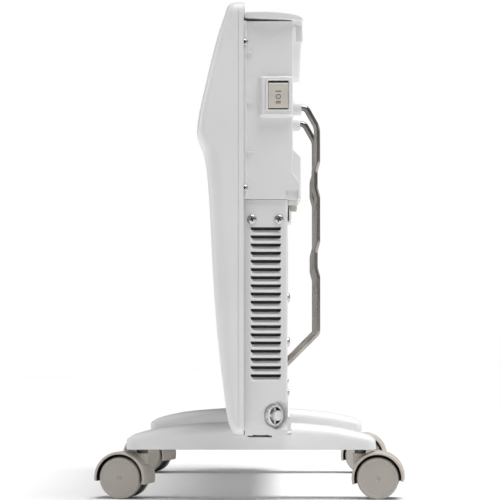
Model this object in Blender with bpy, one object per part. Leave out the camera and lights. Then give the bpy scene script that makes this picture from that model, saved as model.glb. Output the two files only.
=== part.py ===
"""Slim panel heater on castors, front towards -Y and controls on the +X end.

A louvred sheet-metal case holds two flat heating panels behind a slotted front grille.
A plastic surround closes the front, a plastic cap the top, and two plastic housings the
upper ends; the right one carries the rocker switch. Two feet with swivelling twin-wheel
castors carry the case. All sizes are in metres, +Z is up, and the floor is z = 0.
"""

import math

import bmesh
import bpy
from mathutils import Matrix, Vector

# Case: sheet-metal box between the two side panels.
GAP = 0.0003                 # air left between pieces that touch
CASE_HALF_WIDTH = 0.298      # outer faces of the louvred side panels
CASE_REAR = 0.0375
CASE_BOTTOM = 0.0658
CASE_TOP = 0.4685
SHEET = 0.0012
SIDE_SHEET = 0.0015
TUCK = -0.009                # front edges of the case, hidden inside the surround
SPLIT_Z = 0.2944             # the upper housings start here, the louvred panels end below

# Front surround: (height, depth of its front face), from its bottom edge to its top edge.
SURROUND_PROFILE = (
    (0.0660, -0.0146), (0.0720, -0.0178), (0.0800, -0.0204), (0.0980, -0.0233),
    (0.1300, -0.0270), (0.1680, -0.0310), (0.2260, -0.0350), (0.2840, -0.0379),
    (0.3220, -0.0408), (0.3420, -0.0447), (0.3530, -0.0492), (0.3600, -0.0505),
    (0.3700, -0.0497), (0.4000, -0.0437), (0.4590, -0.0290), (0.4740, -0.0237),
    (0.4820, -0.0214), (0.4855, -0.0190), (0.4870, -0.0165),
)
SURROUND_HALF_WIDTH = 0.309
SURROUND_REAR = -0.0050
SURROUND_WALL = 0.003
SURROUND_HOLLOW_TOP = 0.474
SURROUND_CORNER = 0.012      # radius of the surround's corners, seen from the front
WINDOW_HALF_WIDTH = 0.276
WINDOW_BOTTOM, WINDOW_TOP = 0.112, 0.446
WINDOW_CORNER = 0.018
GRILLE_OVERLAP = 0.006
GRILLE_ROWS, GRILLE_COLUMNS = 26, 3
GRILLE_PITCH = 0.012

# Louvres of the side panels.
LOUVRE_COUNT = 19
LOUVRE_PITCH = 0.00793
LOUVRE_TOP = 0.2674          # top edge of the highest slot
LOUVRE_HEIGHT = 0.0066
LOUVRE_FRONT, LOUVRE_REAR = 0.0015, 0.0312
LOUVRE_DEPTH = 0.0037
SIDE_SCREWS = ((0.0029, 0.2748), (0.0291, 0.2748))

# Upper end housings.
HOUSING_HALF_WIDTH = 0.300
HOUSING_INNER = 0.236
HOUSING_WALL = 0.0025
HOUSING_REAR = 0.0426
HOUSING_TOP = 0.4683
RIM_FACE = 0.3035            # raised rim along the front edge
RIM_REAR = -0.0024
HOUSING_SCREWS = ((-0.0042, 0.4470), (-0.0042, 0.3050))

# Rocker switch on its raised pad.
SWITCH_Y, SWITCH_Z = 0.0286, 0.3955
PAD_FACE = 0.3065
ROCKER_PIVOT_X = 0.3045
ROCKER_HALF_LENGTH = 0.0130
ROCKER_HALF_WIDTH = 0.0096

# Top cap and its rear tab.
CAP_HALF_WIDTH = 0.3025
CAP_BULGE = 0.0035
TAB_END, TAB_THICKNESS = 0.262, 0.010

# Thermostat, tilted half-way between the right and the rear.
THERMOSTAT_AT = (0.2916, 0.0262, 0.0846)
SCOOP_RADIUS = 0.0139
SCOOP_FLOOR = -0.0051        # along the thermostat's axis
KNOB_RING_RADIUS = 0.01025
KNOB_HUB_RADIUS = 0.0050
KNOB_HUB_TIP = 0.0038

# Feet and castors.
FOOT_X = 0.225
FOOT_HALF_WIDTH = 0.024
FOOT_MID_Y = 0.0012
FOOT_HALF_LENGTH = 0.1237
FOOT_BOTTOM = 0.0492
FOOT_CROWN = 0.0760
FOOT_CURVE = 1.450           # crown height less y squared over this
FOOT_FALL_FROM = 0.085       # the crown falls faster beyond this, by these two amounts
FOOT_FALLS = (0.0030, 0.0034)
FOOT_EDGE_RADIUS = 0.010
FOOT_END_RADIUS = 0.009      # corners of the foot's ends, seen from above
SADDLE_FLOOR, SADDLE_REAR = 0.0640, 0.0410
SADDLE_CLEARANCE = 0.0006    # between the saddle's front and the surround
SADDLE_WELL = (-0.0020, 0.0220, 0.0615)      # from, to and floor of the well round the bolt
STEM_SPACING = 0.1088        # from the foot's middle to a castor's stem
WHEEL_RADIUS = 0.0209
WHEEL_INNER, WHEEL_OUTER = 0.0031, 0.0205
TRAIL = 0.0180
HOOD_RADIUS = 0.0260
HOOD_WALL = 0.0026
HOOD_HALF_WIDTH = 0.0215
HOOD_WEB = 0.0026
AXLE_RADIUS = 0.0030
CASTORS = (                  # name, side, end, turn from straight in degrees
    ("right_front", 1, -1, -12.0),
    ("right_rear", 1, 1, -4.0),
    ("left_front", -1, -1, -17.0),
    ("left_rear", -1, 1, -5.0),
)

# Rear rods.
ROD_X = 0.103
ROD_RADIUS = 0.00325
ROD_TOP_Z = 0.401
ROD_Y = 0.0687
ROD_SHOULDER_Y, ROD_SHOULDER_Z = 0.0570, 0.3801    # corners of the slanted shoulder
ROD_JOG = 0.0026
ROD_JOGS = (0.3255, 0.2415)
ROD_JOG_OUTER, ROD_JOG_INNER = 0.0180, 0.0085
ROD_BEND_Z = 0.1645
ROD_END_Y = 0.0340
COLLAR_RADIUS, COLLAR_END = 0.0084, 0.0522

# Fasteners.
BOLT_Y = 0.0110              # foot bolts, on each foot's middle line
REAR_SCREWS = (              # name, x, z, head radius
    ("rear_screw_upper", 0.262, 0.1994, 0.0048),
    ("rear_screw_middle", 0.262, 0.1558, 0.0048),
    ("rear_screw_lower_right", 0.272, 0.1063, 0.0032),
    ("rear_screw_lower_left", -0.272, 0.1063, 0.0032),
)


# ---------------------------------------------------------------- materials

def material(name, color, roughness, metallic=0.0):
    made = bpy.data.materials.new(name)
    made.use_nodes = True
    shader = made.node_tree.nodes["Principled BSDF"]
    shader.inputs["Base Color"].default_value = (*color, 1.0)
    shader.inputs["Roughness"].default_value = roughness
    shader.inputs["Metallic"].default_value = metallic
    return made


# ---------------------------------------------------------------- shape helpers

def corner(a, b, depth, axis):
    """A point from two outline coordinates and a depth along the named axis."""
    return {"X": (depth, a, b), "Y": (a, depth, b), "Z": (a, b, depth)}[axis]


def loft(rings):
    """Closed mesh through rings of the same number of points."""
    bm = bmesh.new()
    loops = [[bm.verts.new(point) for point in ring] for ring in rings]
    for lower, upper in zip(loops, loops[1:]):
        for i, vert in enumerate(lower):
            j = (i + 1) % len(lower)
            bm.faces.new((vert, lower[j], upper[j], upper[i]))
    bm.faces.new(loops[0][::-1])
    bm.faces.new(loops[-1])
    return bm


def prism(outline, low, high, axis):
    return loft([[corner(a, b, depth, axis) for a, b in outline] for depth in (low, high)])


def box(low, high):
    return prism(rectangle(low[1], high[1], low[2], high[2]), low[0], high[0], "X")


def rectangle(a_low, a_high, b_low, b_high):
    return [(a_low, b_low), (a_high, b_low), (a_high, b_high), (a_low, b_high)]


def rounded_rectangle(a_low, a_high, b_low, b_high, radius, steps=4):
    centres = (
        (a_high - radius, b_low + radius, -90), (a_high - radius, b_high - radius, 0),
        (a_low + radius, b_high - radius, 90), (a_low + radius, b_low + radius, 180),
    )
    return [
        (a + radius * math.cos(turn), b + radius * math.sin(turn))
        for a, b, start in centres
        for turn in (math.radians(start + 90 * k / steps) for k in range(steps + 1))
    ]


def turned(profile, segments):
    """Solid of revolution about Z from a closed profile of (radius, height)."""
    bm = bmesh.new()
    turns = [2 * math.pi * k / segments for k in range(segments)]
    rings = [
        [bm.verts.new((radius * math.cos(t), radius * math.sin(t), height)) for t in turns]
        if radius else [bm.verts.new((0, 0, height))]
        for radius, height in profile
    ]
    for ring, after in zip(rings, rings[1:] + rings[:1]):
        if len(ring) == len(after) == 1:
            continue
        for k in range(segments):
            n = (k + 1) % segments
            around = (ring[k % len(ring)], ring[n % len(ring)],
                      after[n % len(after)], after[k % len(after)])
            bm.faces.new(list(dict.fromkeys(around)))
    return bm


def joined(meshes):
    """One bmesh that holds several closed shapes, for use as a cutter."""
    whole = bmesh.new()
    for bm in meshes:
        scratch = bpy.data.meshes.new("scratch")
        bm.to_mesh(scratch)
        bm.free()
        whole.from_mesh(scratch)
        bpy.data.meshes.remove(scratch)
    return whole


def make(name, bm, finish=None, parent=None):
    """An object from a bmesh, with its faces turned outwards and round stretches smooth."""
    bmesh.ops.recalc_face_normals(bm, faces=bm.faces)
    mesh = bpy.data.meshes.new(name)
    bm.to_mesh(mesh)
    bm.free()
    mesh.shade_smooth()
    mesh.set_sharp_from_angle(angle=math.radians(35))
    obj = bpy.data.objects.new(name, mesh)
    bpy.context.scene.collection.objects.link(obj)
    obj.parent = parent or bpy.data.objects["heater"]
    if finish:
        mesh.materials.append(finish)
    return obj


def combine(target, bm, operation="DIFFERENCE"):
    """Cuts a shape from an object, or joins or intersects it, with a Boolean modifier."""
    helper = make(f"{target.name}_tool_{len(target.modifiers) + 1}", bm, None, target.parent)
    helper.matrix_local = target.matrix_local
    helper.hide_render = True
    helper.display_type = "WIRE"
    modifier = target.modifiers.new(helper.name, "BOOLEAN")
    modifier.operation = operation
    modifier.object = helper
    return target


def empty(name, location, matrix=None, parent=None):
    made = bpy.data.objects.new(name, None)
    bpy.context.scene.collection.objects.link(made)
    made.parent = parent
    made.matrix_local = Matrix.Translation(location) @ (matrix or Matrix()).to_4x4()
    return made


def moved(bm, offset):
    bmesh.ops.translate(bm, verts=bm.verts, vec=Vector(offset))
    return bm


def facing(bm, axis, location=(0, 0, 0)):
    """Turns a mesh made about Z so that Z points along axis, and moves it."""
    turn = Vector((0, 0, 1)).rotation_difference(Vector(axis)).to_matrix().to_4x4()
    bmesh.ops.transform(bm, matrix=Matrix.Translation(location) @ turn, verts=bm.verts)
    return bm


def cylinder(radius, low, high, segments=20):
    return turned([(0, low), (radius, low), (radius, high), (0, high)], segments)


# ---------------------------------------------------------------- front

def front_depth(height):
    """Y of the surround's front face at a height."""
    for (z0, y0), (z1, y1) in zip(SURROUND_PROFILE, SURROUND_PROFILE[1:]):
        if height <= z1:
            return y0 + (y1 - y0) * (height - z0) / (z1 - z0)
    return SURROUND_PROFILE[-1][1]


def corner_inset(height):
    """How far the surround's side draws in at its rounded top and bottom corners."""
    low, high = SURROUND_PROFILE[0][0], SURROUND_PROFILE[-1][0]
    past = max(SURROUND_CORNER - min(height - low, high - height), 0.0)
    return SURROUND_CORNER - math.sqrt(SURROUND_CORNER**2 - past**2)


def surround_section(height, inset, rear):
    """Horizontal section of the surround: flat sides, quarter-round front corners."""
    front = front_depth(height) + inset
    half = SURROUND_HALF_WIDTH - inset - corner_inset(height)
    round_x = 0.014
    round_y = min(0.016, 0.55 * (SURROUND_REAR - front))
    turns = [math.pi / 2 * k / 4 for k in range(5)]
    bend = [(half - round_x * (1 - math.cos(t)), front + round_y * (1 - math.sin(t)))
            for t in turns]
    right = [(half, rear)] + bend
    return [(x, y, height) for x, y in right + [(-x, y) for x, y in reversed(right)]]


def front_bezel(finish):
    heights = [z for z, _ in SURROUND_PROFILE]
    shell = make("front_bezel", loft([surround_section(z, 0, SURROUND_REAR) for z in heights]),
                 finish)
    low = heights[0] + SURROUND_WALL
    inner = [low] + [z for z in heights if low < z < SURROUND_HOLLOW_TOP] + [SURROUND_HOLLOW_TOP]
    combine(shell, loft([surround_section(z, SURROUND_WALL, 0.01) for z in inner]))
    window = rounded_rectangle(-WINDOW_HALF_WIDTH, WINDOW_HALF_WIDTH, WINDOW_BOTTOM, WINDOW_TOP,
                               WINDOW_CORNER)
    return combine(shell, prism(window, -0.080, 0.010, "Y"))


def front_grille(finish):
    """Sheet that follows the surround's profile just behind it, with rows of slots."""
    low, high = WINDOW_BOTTOM - GRILLE_OVERLAP, WINDOW_TOP + GRILLE_OVERLAP
    heights = [low] + [z for z, _ in SURROUND_PROFILE if low < z < high] + [high]
    face = SURROUND_WALL + 0.0004
    outline = [(front_depth(z) + face, z) for z in heights]
    outline += [(y + SHEET, z) for y, z in reversed(outline)]
    half = WINDOW_HALF_WIDTH + GRILLE_OVERLAP
    sheet = make("front_grille", prism(outline, -half, half, "X"), finish)
    column = 2 * (WINDOW_HALF_WIDTH - 0.010) / GRILLE_COLUMNS
    middle = (WINDOW_BOTTOM + WINDOW_TOP) / 2
    slots = []
    for i in range(GRILLE_COLUMNS):
        x = (i - (GRILLE_COLUMNS - 1) / 2) * column
        for j in range(GRILLE_ROWS):
            z = middle + (j - (GRILLE_ROWS - 1) / 2) * GRILLE_PITCH
            slots.append(box((x - column / 2 + 0.004, -0.080, z - 0.003),
                             (x + column / 2 - 0.004, 0.0, z + 0.003)))
    return combine(sheet, joined(slots))


# ---------------------------------------------------------------- case panels

def thermostat_turn():
    """Rotation that takes Z to the thermostat's axis and keeps Y upright."""
    half = math.sqrt(0.5)
    return Matrix(((-half, 0, half), (half, 0, half), (0, 1, 0)))


def scoop_cutter(radius, bottom):
    bm = cylinder(radius, bottom, 0.060, 24)
    place = Matrix.Translation(THERMOSTAT_AT) @ thermostat_turn().to_4x4()
    bmesh.ops.transform(bm, matrix=place, verts=bm.verts)
    return bm


def side_panel(name, side, finish):
    """Flat panel with a column of louvres whose upper edges are pressed inwards."""
    outer, inner = CASE_HALF_WIDTH, CASE_HALF_WIDTH - SIDE_SHEET
    corner_cut = 0.003
    outline = [
        (-0.004, CASE_BOTTOM), (CASE_REAR - corner_cut, CASE_BOTTOM),
        (CASE_REAR, CASE_BOTTOM + corner_cut), (CASE_REAR, SPLIT_Z - 0.0005),
        (TUCK, SPLIT_Z - 0.0005), (TUCK, 0.0700), (-0.004, 0.0700),
    ]
    panel = make(name, prism(outline, *sorted((side * outer, side * inner)), "X"), finish)
    slots, tongues = [], []
    for i in range(LOUVRE_COUNT):
        top = LOUVRE_TOP - i * LOUVRE_PITCH
        bottom = top - LOUVRE_HEIGHT
        slots.append(box((min(side * 0.290, side * 0.302), LOUVRE_FRONT, bottom),
                         (max(side * 0.290, side * 0.302), LOUVRE_REAR, top)))
        tongue = [
            (side * (outer - 0.0001), bottom - 0.0006),
            (side * (outer - LOUVRE_DEPTH), top - 0.0019),
            (side * (outer - LOUVRE_DEPTH - 0.0010), top - 0.0019),
            (side * (inner - 0.0001), bottom - 0.0006),
        ]
        tongues.append(prism(tongue, LOUVRE_FRONT - 0.0008, LOUVRE_REAR + 0.0008, "Y"))
    combine(panel, joined(slots))
    combine(panel, joined(tongues), "UNION")
    if side > 0:
        holes = [facing(cylinder(0.0022, 0.290, 0.302, 12), (1, 0, 0), (0, y, z))
                 for y, z in SIDE_SCREWS]
        combine(panel, joined(holes))
        combine(panel, scoop_cutter(SCOOP_RADIUS + 0.0011, SCOOP_FLOOR - 0.0018))
    return panel


def rear_panel(finish):
    """Back of the case: full width at the bottom, between the housings higher up."""
    wide, narrow = CASE_HALF_WIDTH - SIDE_SHEET - GAP, HOUSING_INNER - 0.0005
    bottom, step, top = CASE_BOTTOM + 0.002, SPLIT_Z - 0.0005, CASE_TOP - 0.0007
    outline = [(-wide, bottom), (wide, bottom), (wide, step), (narrow, step),
               (narrow, top), (-narrow, top), (-narrow, step), (-wide, step)]
    panel = make("rear_panel", prism(outline, CASE_REAR - SHEET, CASE_REAR, "Y"), finish)
    slots = [
        box((x - 0.0225, 0.030, z - 0.0025), (x + 0.0225, 0.045, z + 0.0025))
        for z in (0.085, 0.100, 0.215, 0.235, 0.255, 0.300, 0.320, 0.340)
        for x in (-0.165, -0.055, 0.055, 0.165)
    ]
    combine(panel, joined(slots))
    end_z = ROD_BEND_Z - (ROD_Y - CASE_REAR)
    holes = [
        facing(cylinder(radius, 0.030, 0.045, 16), (0, 1, 0), (x, 0, z))
        for x in (-ROD_X, ROD_X)
        for z, radius in ((ROD_TOP_Z, ROD_RADIUS + 0.0006), (end_z, 0.0062))
    ]
    holes += [facing(cylinder(0.0022, 0.030, 0.045, 10), (0, 1, 0), (x, 0, z))
              for _, x, z, _ in REAR_SCREWS]
    combine(panel, joined(holes))
    return combine(panel, scoop_cutter(SCOOP_RADIUS + 0.0011, SCOOP_FLOOR - 0.0018))


def bottom_panel(finish):
    half = CASE_HALF_WIDTH - SIDE_SHEET - GAP
    low = CASE_BOTTOM + 0.0002
    panel = make("bottom_panel", box((-half, -0.0035, low), (half, 0.0360, low + SHEET)), finish)
    slots = [box((x - 0.030, y - 0.003, 0.060), (x + 0.030, y + 0.003, 0.072))
             for x in (-0.150, -0.050, 0.050, 0.150) for y in (0.006, 0.020)]
    holes = [moved(cylinder(0.0034, 0.060, 0.072, 12), (side * FOOT_X, BOLT_Y, 0))
             for side in (-1, 1)]
    return combine(panel, joined(slots + holes))


# ---------------------------------------------------------------- upper end housings

def end_housing(name, side, finish, with_switch):
    """Moulded housing, open towards the middle, with a raised rim along its front edge."""
    def span(a, b):
        return sorted((side * a, side * b))

    rear, low, top = HOUSING_REAR, SPLIT_Z, HOUSING_TOP
    if with_switch:
        near = [(TUCK, low), (0.0495, low), (0.0495, 0.311), (rear, 0.320), (rear, top),
                (TUCK, top)]
        far = [(TUCK, low), (0.0503, low), (0.0503, 0.3366), (rear, 0.344), (rear, top),
               (TUCK, top)]
        hollow = [(0.0470, 0.2969), (0.0470, 0.3090), (0.0401, 0.3180)]
    else:
        near = far = [(TUCK, low), (rear, low), (rear, top), (TUCK, top)]
        hollow = [(0.0401, 0.2969)]
    shell = make(name, prism(near, *span(0.288, HOUSING_HALF_WIDTH), "X"), finish)
    combine(shell, prism(far, *span(HOUSING_INNER, 0.2885), "X"), "UNION")
    hollow = [(TUCK + HOUSING_WALL, 0.2969)] + hollow + [(0.0401, top - HOUSING_WALL),
                                                         (TUCK + HOUSING_WALL, top - HOUSING_WALL)]
    combine(shell, prism(hollow, *span(HOUSING_INNER - 0.005, HOUSING_HALF_WIDTH - HOUSING_WALL),
                         "X"))
    rim = rectangle(TUCK, RIM_REAR, low, top)
    combine(shell, prism(rim, *span(HOUSING_HALF_WIDTH - 0.001, RIM_FACE), "X"), "UNION")
    ribs = [box((span(0.2995, 0.3008)[0], RIM_REAR - 0.001, z - 0.0006),
                (span(0.2995, 0.3008)[1], RIM_REAR + 0.0065, z + 0.0006))
            for z in (0.438, 0.389, 0.341)]
    combine(shell, joined(ribs), "UNION")
    if with_switch:
        add_switch_pad(shell)
    return shell


def add_switch_pad(shell):
    """Raised pad with drafted sides around the rocker, and the opening for the switch."""
    base = [(0.0085, 0.3735), (HOUSING_REAR - 0.0002, 0.3735),
            (HOUSING_REAR - 0.0002, 0.4150), (0.0085, 0.4150)]
    face = [(0.0125, 0.3760), (0.0424, 0.3760), (0.0424, 0.4130), (0.0125, 0.4130)]
    pad = loft([[(0.2990, y, z) for y, z in base], [(PAD_FACE, y, z) for y, z in face]])
    combine(shell, pad, "UNION")
    combine(shell, box((0.290, SWITCH_Y - 0.0108, SWITCH_Z - 0.0143),
                       (0.312, SWITCH_Y + 0.0108, SWITCH_Z + 0.0143)))
    combine(shell, box((0.2990, 0.0360, 0.2935), (0.302, 0.0485, 0.3040)))
    holes = [facing(cylinder(0.0017, 0.292, 0.306, 10), (1, 0, 0), (0, y, z))
             for y, z in HOUSING_SCREWS]
    combine(shell, joined(holes))


# ---------------------------------------------------------------- top cap

def top_cap(finish):
    """Cap with ends that bulge outwards, outlet slots, and a tab behind it at the right."""
    side_outline = [
        (-0.0045, 0.4709), (-0.0045, 0.4764), (-0.0035, 0.4770), (0.022, 0.4769),
        (0.038, 0.4756), (0.047, 0.4738), (0.0509, 0.4722), (0.0523, 0.4700),
        (0.0523, 0.4681), (0.046, 0.4687),
    ]
    reach = CAP_HALF_WIDTH + CAP_BULGE
    cap = make("top_cap", prism(side_outline, -reach, reach, "X"), finish)
    ends = [-0.006 + 0.060 * k / 8 for k in range(9)]
    middle, half = 0.024, 0.030
    bulge = [(CAP_HALF_WIDTH + CAP_BULGE * (1 - ((y - middle) / half) ** 2), y) for y in ends]
    plan = bulge + [(-x, y) for x, y in reversed(bulge)]
    combine(cap, prism(plan, 0.460, 0.480, "Z"), "INTERSECT")
    tab = [(0.0458, 0.4525), (0.0518, 0.4525), (0.0526, 0.4536), (0.0520, 0.4695),
           (0.0462, 0.4700)]
    combine(cap, prism(tab, TAB_END - TAB_THICKNESS, TAB_END, "X"), "UNION")
    slots = [box((x - 0.0560, y - 0.0022, 0.460), (x + 0.0560, y + 0.0022, 0.480))
             for x in (-0.186, -0.062, 0.062, 0.186) for y in (0.007, 0.017, 0.027)]
    return combine(cap, joined(slots))


# ---------------------------------------------------------------- switch

def switch_parts(frame_finish, rocker_finish, dark_finish):
    ring = rounded_rectangle(SWITCH_Y - 0.0122, SWITCH_Y + 0.0122, SWITCH_Z - 0.0154,
                             SWITCH_Z + 0.0154, 0.0015, 2)
    frame = make("switch_bezel", prism(ring, PAD_FACE + GAP, PAD_FACE + 0.0014, "X"),
                 frame_finish)
    combine(frame, box((0.300, SWITCH_Y - 0.0100, SWITCH_Z - 0.01385),
                       (0.312, SWITCH_Y + 0.0100, SWITCH_Z + 0.01385)))
    make("switch_body", box((0.279, SWITCH_Y - 0.0102, SWITCH_Z - 0.0138),
                            (0.299, SWITCH_Y + 0.0102, SWITCH_Z + 0.0138)), dark_finish)
    pivot = empty("rocker_pivot", (ROCKER_PIVOT_X, SWITCH_Y, SWITCH_Z),
                  parent=bpy.data.objects["heater"])
    half = ROCKER_HALF_LENGTH
    outline = [(-0.0015, -half + 0.0004), (0.0035, -half), (0.0043, -half + 0.0009),
               (0.0025, -0.0035), (0.0022, 0.0), (0.0025, 0.0035), (0.0043, half - 0.0009),
               (0.0035, half), (-0.0015, half - 0.0004), (-0.0042, 0.0)]
    make("switch_rocker", prism(outline, -ROCKER_HALF_WIDTH, ROCKER_HALF_WIDTH, "Y"),
         rocker_finish, pivot)


# ---------------------------------------------------------------- thermostat

def thermostat_parts(white, dark):
    axis = empty("thermostat_axis", THERMOSTAT_AT, thermostat_turn(),
                 bpy.data.objects["heater"])
    wall = SCOOP_RADIUS + 0.0008
    cup = [(0.0024, SCOOP_FLOOR - 0.0015), (wall, SCOOP_FLOOR - 0.0015), (wall, 0.025),
           (SCOOP_RADIUS, 0.025), (SCOOP_RADIUS, SCOOP_FLOOR), (0.0024, SCOOP_FLOOR)]
    dial = make("thermostat_dial", turned(cup, 24), white, axis)
    keep = box((0.262, 0.008, 0.060), (CASE_HALF_WIDTH, CASE_REAR, 0.110))
    to_axis = (Matrix.Translation(THERMOSTAT_AT) @ thermostat_turn().to_4x4()).inverted()
    bmesh.ops.transform(keep, matrix=to_axis, verts=keep.verts)
    combine(dial, keep, "INTERSECT")

    low = SCOOP_FLOOR + GAP
    hub = [(0, SCOOP_FLOOR - 0.0014), (0.0020, SCOOP_FLOOR - 0.0014), (0.0020, low),
           (KNOB_HUB_RADIUS, low), (KNOB_HUB_RADIUS, KNOB_HUB_TIP - 0.0004),
           (KNOB_HUB_RADIUS - 0.0004, KNOB_HUB_TIP), (0, KNOB_HUB_TIP)]
    knob = make("thermostat_knob", turned(hub, 20), white, axis)
    ring = [(0.0083, low), (KNOB_RING_RADIUS, low), (KNOB_RING_RADIUS, -0.0004),
            (KNOB_RING_RADIUS - 0.0004, 0), (0.0087, 0), (0.0083, -0.0004)]
    spokes = [(0.0012, -0.0090), (0.0012, 0.0090), (-0.0012, 0.0090), (-0.0012, -0.0090)]
    cross = [prism(spokes, low + 0.0006, -0.0012, "Z"),
             prism([(b, a) for a, b in spokes], low + 0.0006, -0.0012, "Z")]
    combine(knob, cross[0], "UNION")
    combine(knob, cross[1], "UNION")
    combine(knob, turned(ring, 24), "UNION")

    body = box((-0.009, -0.009, SCOOP_FLOOR - 0.0100), (0.009, 0.009, SCOOP_FLOOR - 0.0020))
    make("thermostat_body", body, dark, axis)


# ---------------------------------------------------------------- feet and castors

def foot_crown(y):
    """Height of the foot's crown at a distance along it from its middle."""
    end = max(abs(y) - FOOT_FALL_FROM, 0.0) / (FOOT_HALF_LENGTH - FOOT_FALL_FROM)
    return FOOT_CROWN - y**2 / FOOT_CURVE - FOOT_FALLS[0] * end - FOOT_FALLS[1] * end**6


def foot_half_width(y):
    """Half the foot's width, which draws in at its rounded ends."""
    past = max(FOOT_END_RADIUS - (FOOT_HALF_LENGTH - abs(y)), 0.0)
    return FOOT_HALF_WIDTH - FOOT_END_RADIUS + math.sqrt(FOOT_END_RADIUS**2 - past**2)


def foot(name, side, finish):
    """Bowed foot, arched along its length, hollowed from below, with a saddle for the case."""
    stations = [-1.0, -0.994, -0.98, -0.96, -0.93, -0.88, -0.80, -0.69, -0.46, -0.23, 0.0]
    stations += [-s for s in reversed(stations[:-1])]
    rings = []
    for y in (s * FOOT_HALF_LENGTH for s in stations):
        height, half = foot_crown(y), foot_half_width(y)
        radius = min(FOOT_EDGE_RADIUS, 0.55 * (height - FOOT_BOTTOM))
        bend = [(half - radius * (1 - math.cos(t)), height - radius * (1 - math.sin(t)))
                for t in (math.pi / 2 * k / 3 for k in range(4))]
        right = [(half - 0.001, FOOT_BOTTOM), (half, FOOT_BOTTOM + 0.001)] + bend
        section = right + [(-x, z) for x, z in reversed(right)]
        rings.append([(side * FOOT_X + x, FOOT_MID_Y + y, z) for x, z in section])
    body = make(name, loft(rings), finish)
    low, high = side * FOOT_X - 0.030, side * FOOT_X + 0.030
    front = [(y - SADDLE_CLEARANCE, z) for z, y in SURROUND_PROFILE[:4]]
    saddle = [(front[0][0], SADDLE_FLOOR)] + front + [(SADDLE_REAR, front[-1][1]),
                                                      (SADDLE_REAR, SADDLE_FLOOR)]
    combine(body, prism(saddle, low, high, "X"))
    well_front, well_rear, well_floor = SADDLE_WELL
    combine(body, box((low, well_front, well_floor), (high, well_rear, 0.070)))
    combine(body, moved(cylinder(0.0080, 0.0580, CASE_BOTTOM - 0.0001, 20),
                        (side * FOOT_X, BOLT_Y, 0)), "UNION")
    pockets = [
        box((side * FOOT_X - 0.0195, y0, 0.040), (side * FOOT_X + 0.0195, y1, 0.0600))
        for y0, y1 in ((-0.0940, -0.0080), (0.0300, 0.0960))
    ]
    sockets = [moved(cylinder(0.0044, 0.040, 0.0636, 16),
                     (side * FOOT_X, FOOT_MID_Y + end * STEM_SPACING, 0)) for end in (-1, 1)]
    bolt = turned([(0, 0.040), (0.0072, 0.040), (0.0072, 0.0560), (0.0034, 0.0560),
                   (0.0034, 0.080), (0, 0.080)], 16)
    return combine(body, joined(pockets + sockets + [moved(bolt, (side * FOOT_X, BOLT_Y, 0))]))


def castor_turn(end, degrees_turned):
    """Angle about Z that points a castor's trail outwards, then turns it."""
    return math.radians((0 if end > 0 else 180) + degrees_turned)


def hood_outline():
    """Arch over the wheels, seen along the axle: +Y trails, the stem side hangs lower."""
    turns = [math.radians(a) for a in [-7.0] + [15.0 * k for k in range(13)] + [194.0]]
    return [(TRAIL + HOOD_RADIUS * math.cos(a), WHEEL_RADIUS + HOOD_RADIUS * math.sin(a))
            for a in turns]


def castor(name, side, end, degrees_turned, grey, steel):
    frame = empty(f"{name}_castor", (side * FOOT_X, FOOT_MID_Y + end * STEM_SPACING, 0),
                  Matrix.Rotation(castor_turn(end, degrees_turned), 3, "Z"),
                  bpy.data.objects["heater"])
    hood = make(f"{name}_castor_hood",
                prism(hood_outline(), -HOOD_HALF_WIDTH, HOOD_HALF_WIDTH, "X"), grey, frame)
    combine(hood, cylinder(0.0070, 0.0345, 0.0448, 16), "UNION")
    inner = HOOD_RADIUS - HOOD_WALL
    wells = [facing(cylinder(inner, low, high, 24), (1, 0, 0), (0, TRAIL, WHEEL_RADIUS))
             for low, high in ((HOOD_WEB, 0.030), (-0.030, -HOOD_WEB))]
    combine(hood, joined(wells))
    bore = facing(cylinder(AXLE_RADIUS + GAP, -0.030, 0.030, 12), (1, 0, 0),
                  (0, TRAIL, WHEEL_RADIUS))
    combine(hood, joined([bore, cylinder(0.0038, 0.0370, 0.060, 12)]))

    stem = [(0, 0.0373), (0.0035, 0.0373), (0.0035, 0.0452), (0.0058, 0.0452),
            (0.0058, 0.0488), (0.0040, 0.0488), (0.0040, 0.0625), (0.0030, 0.0632), (0, 0.0632)]
    make(f"{name}_castor_stem", turned(stem, 12), steel, frame)

    axle = make(f"{name}_castor_axle", cylinder(AXLE_RADIUS, -0.0140, 0.0140, 12), steel, frame)
    sideways = Matrix.Rotation(math.radians(90), 4, "Y")
    axle.matrix_local = Matrix.Translation((0, TRAIL, WHEEL_RADIUS)) @ sideways
    profile = [
        (AXLE_RADIUS + GAP, WHEEL_INNER), (WHEEL_RADIUS - 0.0008, WHEEL_INNER),
        (WHEEL_RADIUS, WHEEL_INNER + 0.0008), (WHEEL_RADIUS, WHEEL_OUTER - 0.0014),
        (WHEEL_RADIUS - 0.0012, WHEEL_OUTER), (WHEEL_RADIUS - 0.0032, WHEEL_OUTER),
        (WHEEL_RADIUS - 0.0038, WHEEL_OUTER - 0.0005), (0, WHEEL_OUTER - 0.0005),
        (0, 0.0150), (AXLE_RADIUS + GAP, 0.0150),
    ]
    for place in ("outboard", "inboard"):
        outward = (1 if place == "outboard" else -1) * side * (1 if end > 0 else -1)
        wheel = make(f"{name}_{place}_wheel", turned(profile, 24), grey, frame)
        turn = Matrix.Rotation(math.radians(90 * outward), 4, "Y")
        wheel.matrix_local = Matrix.Translation((0, TRAIL, WHEEL_RADIUS)) @ turn


# ---------------------------------------------------------------- rear rods

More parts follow.
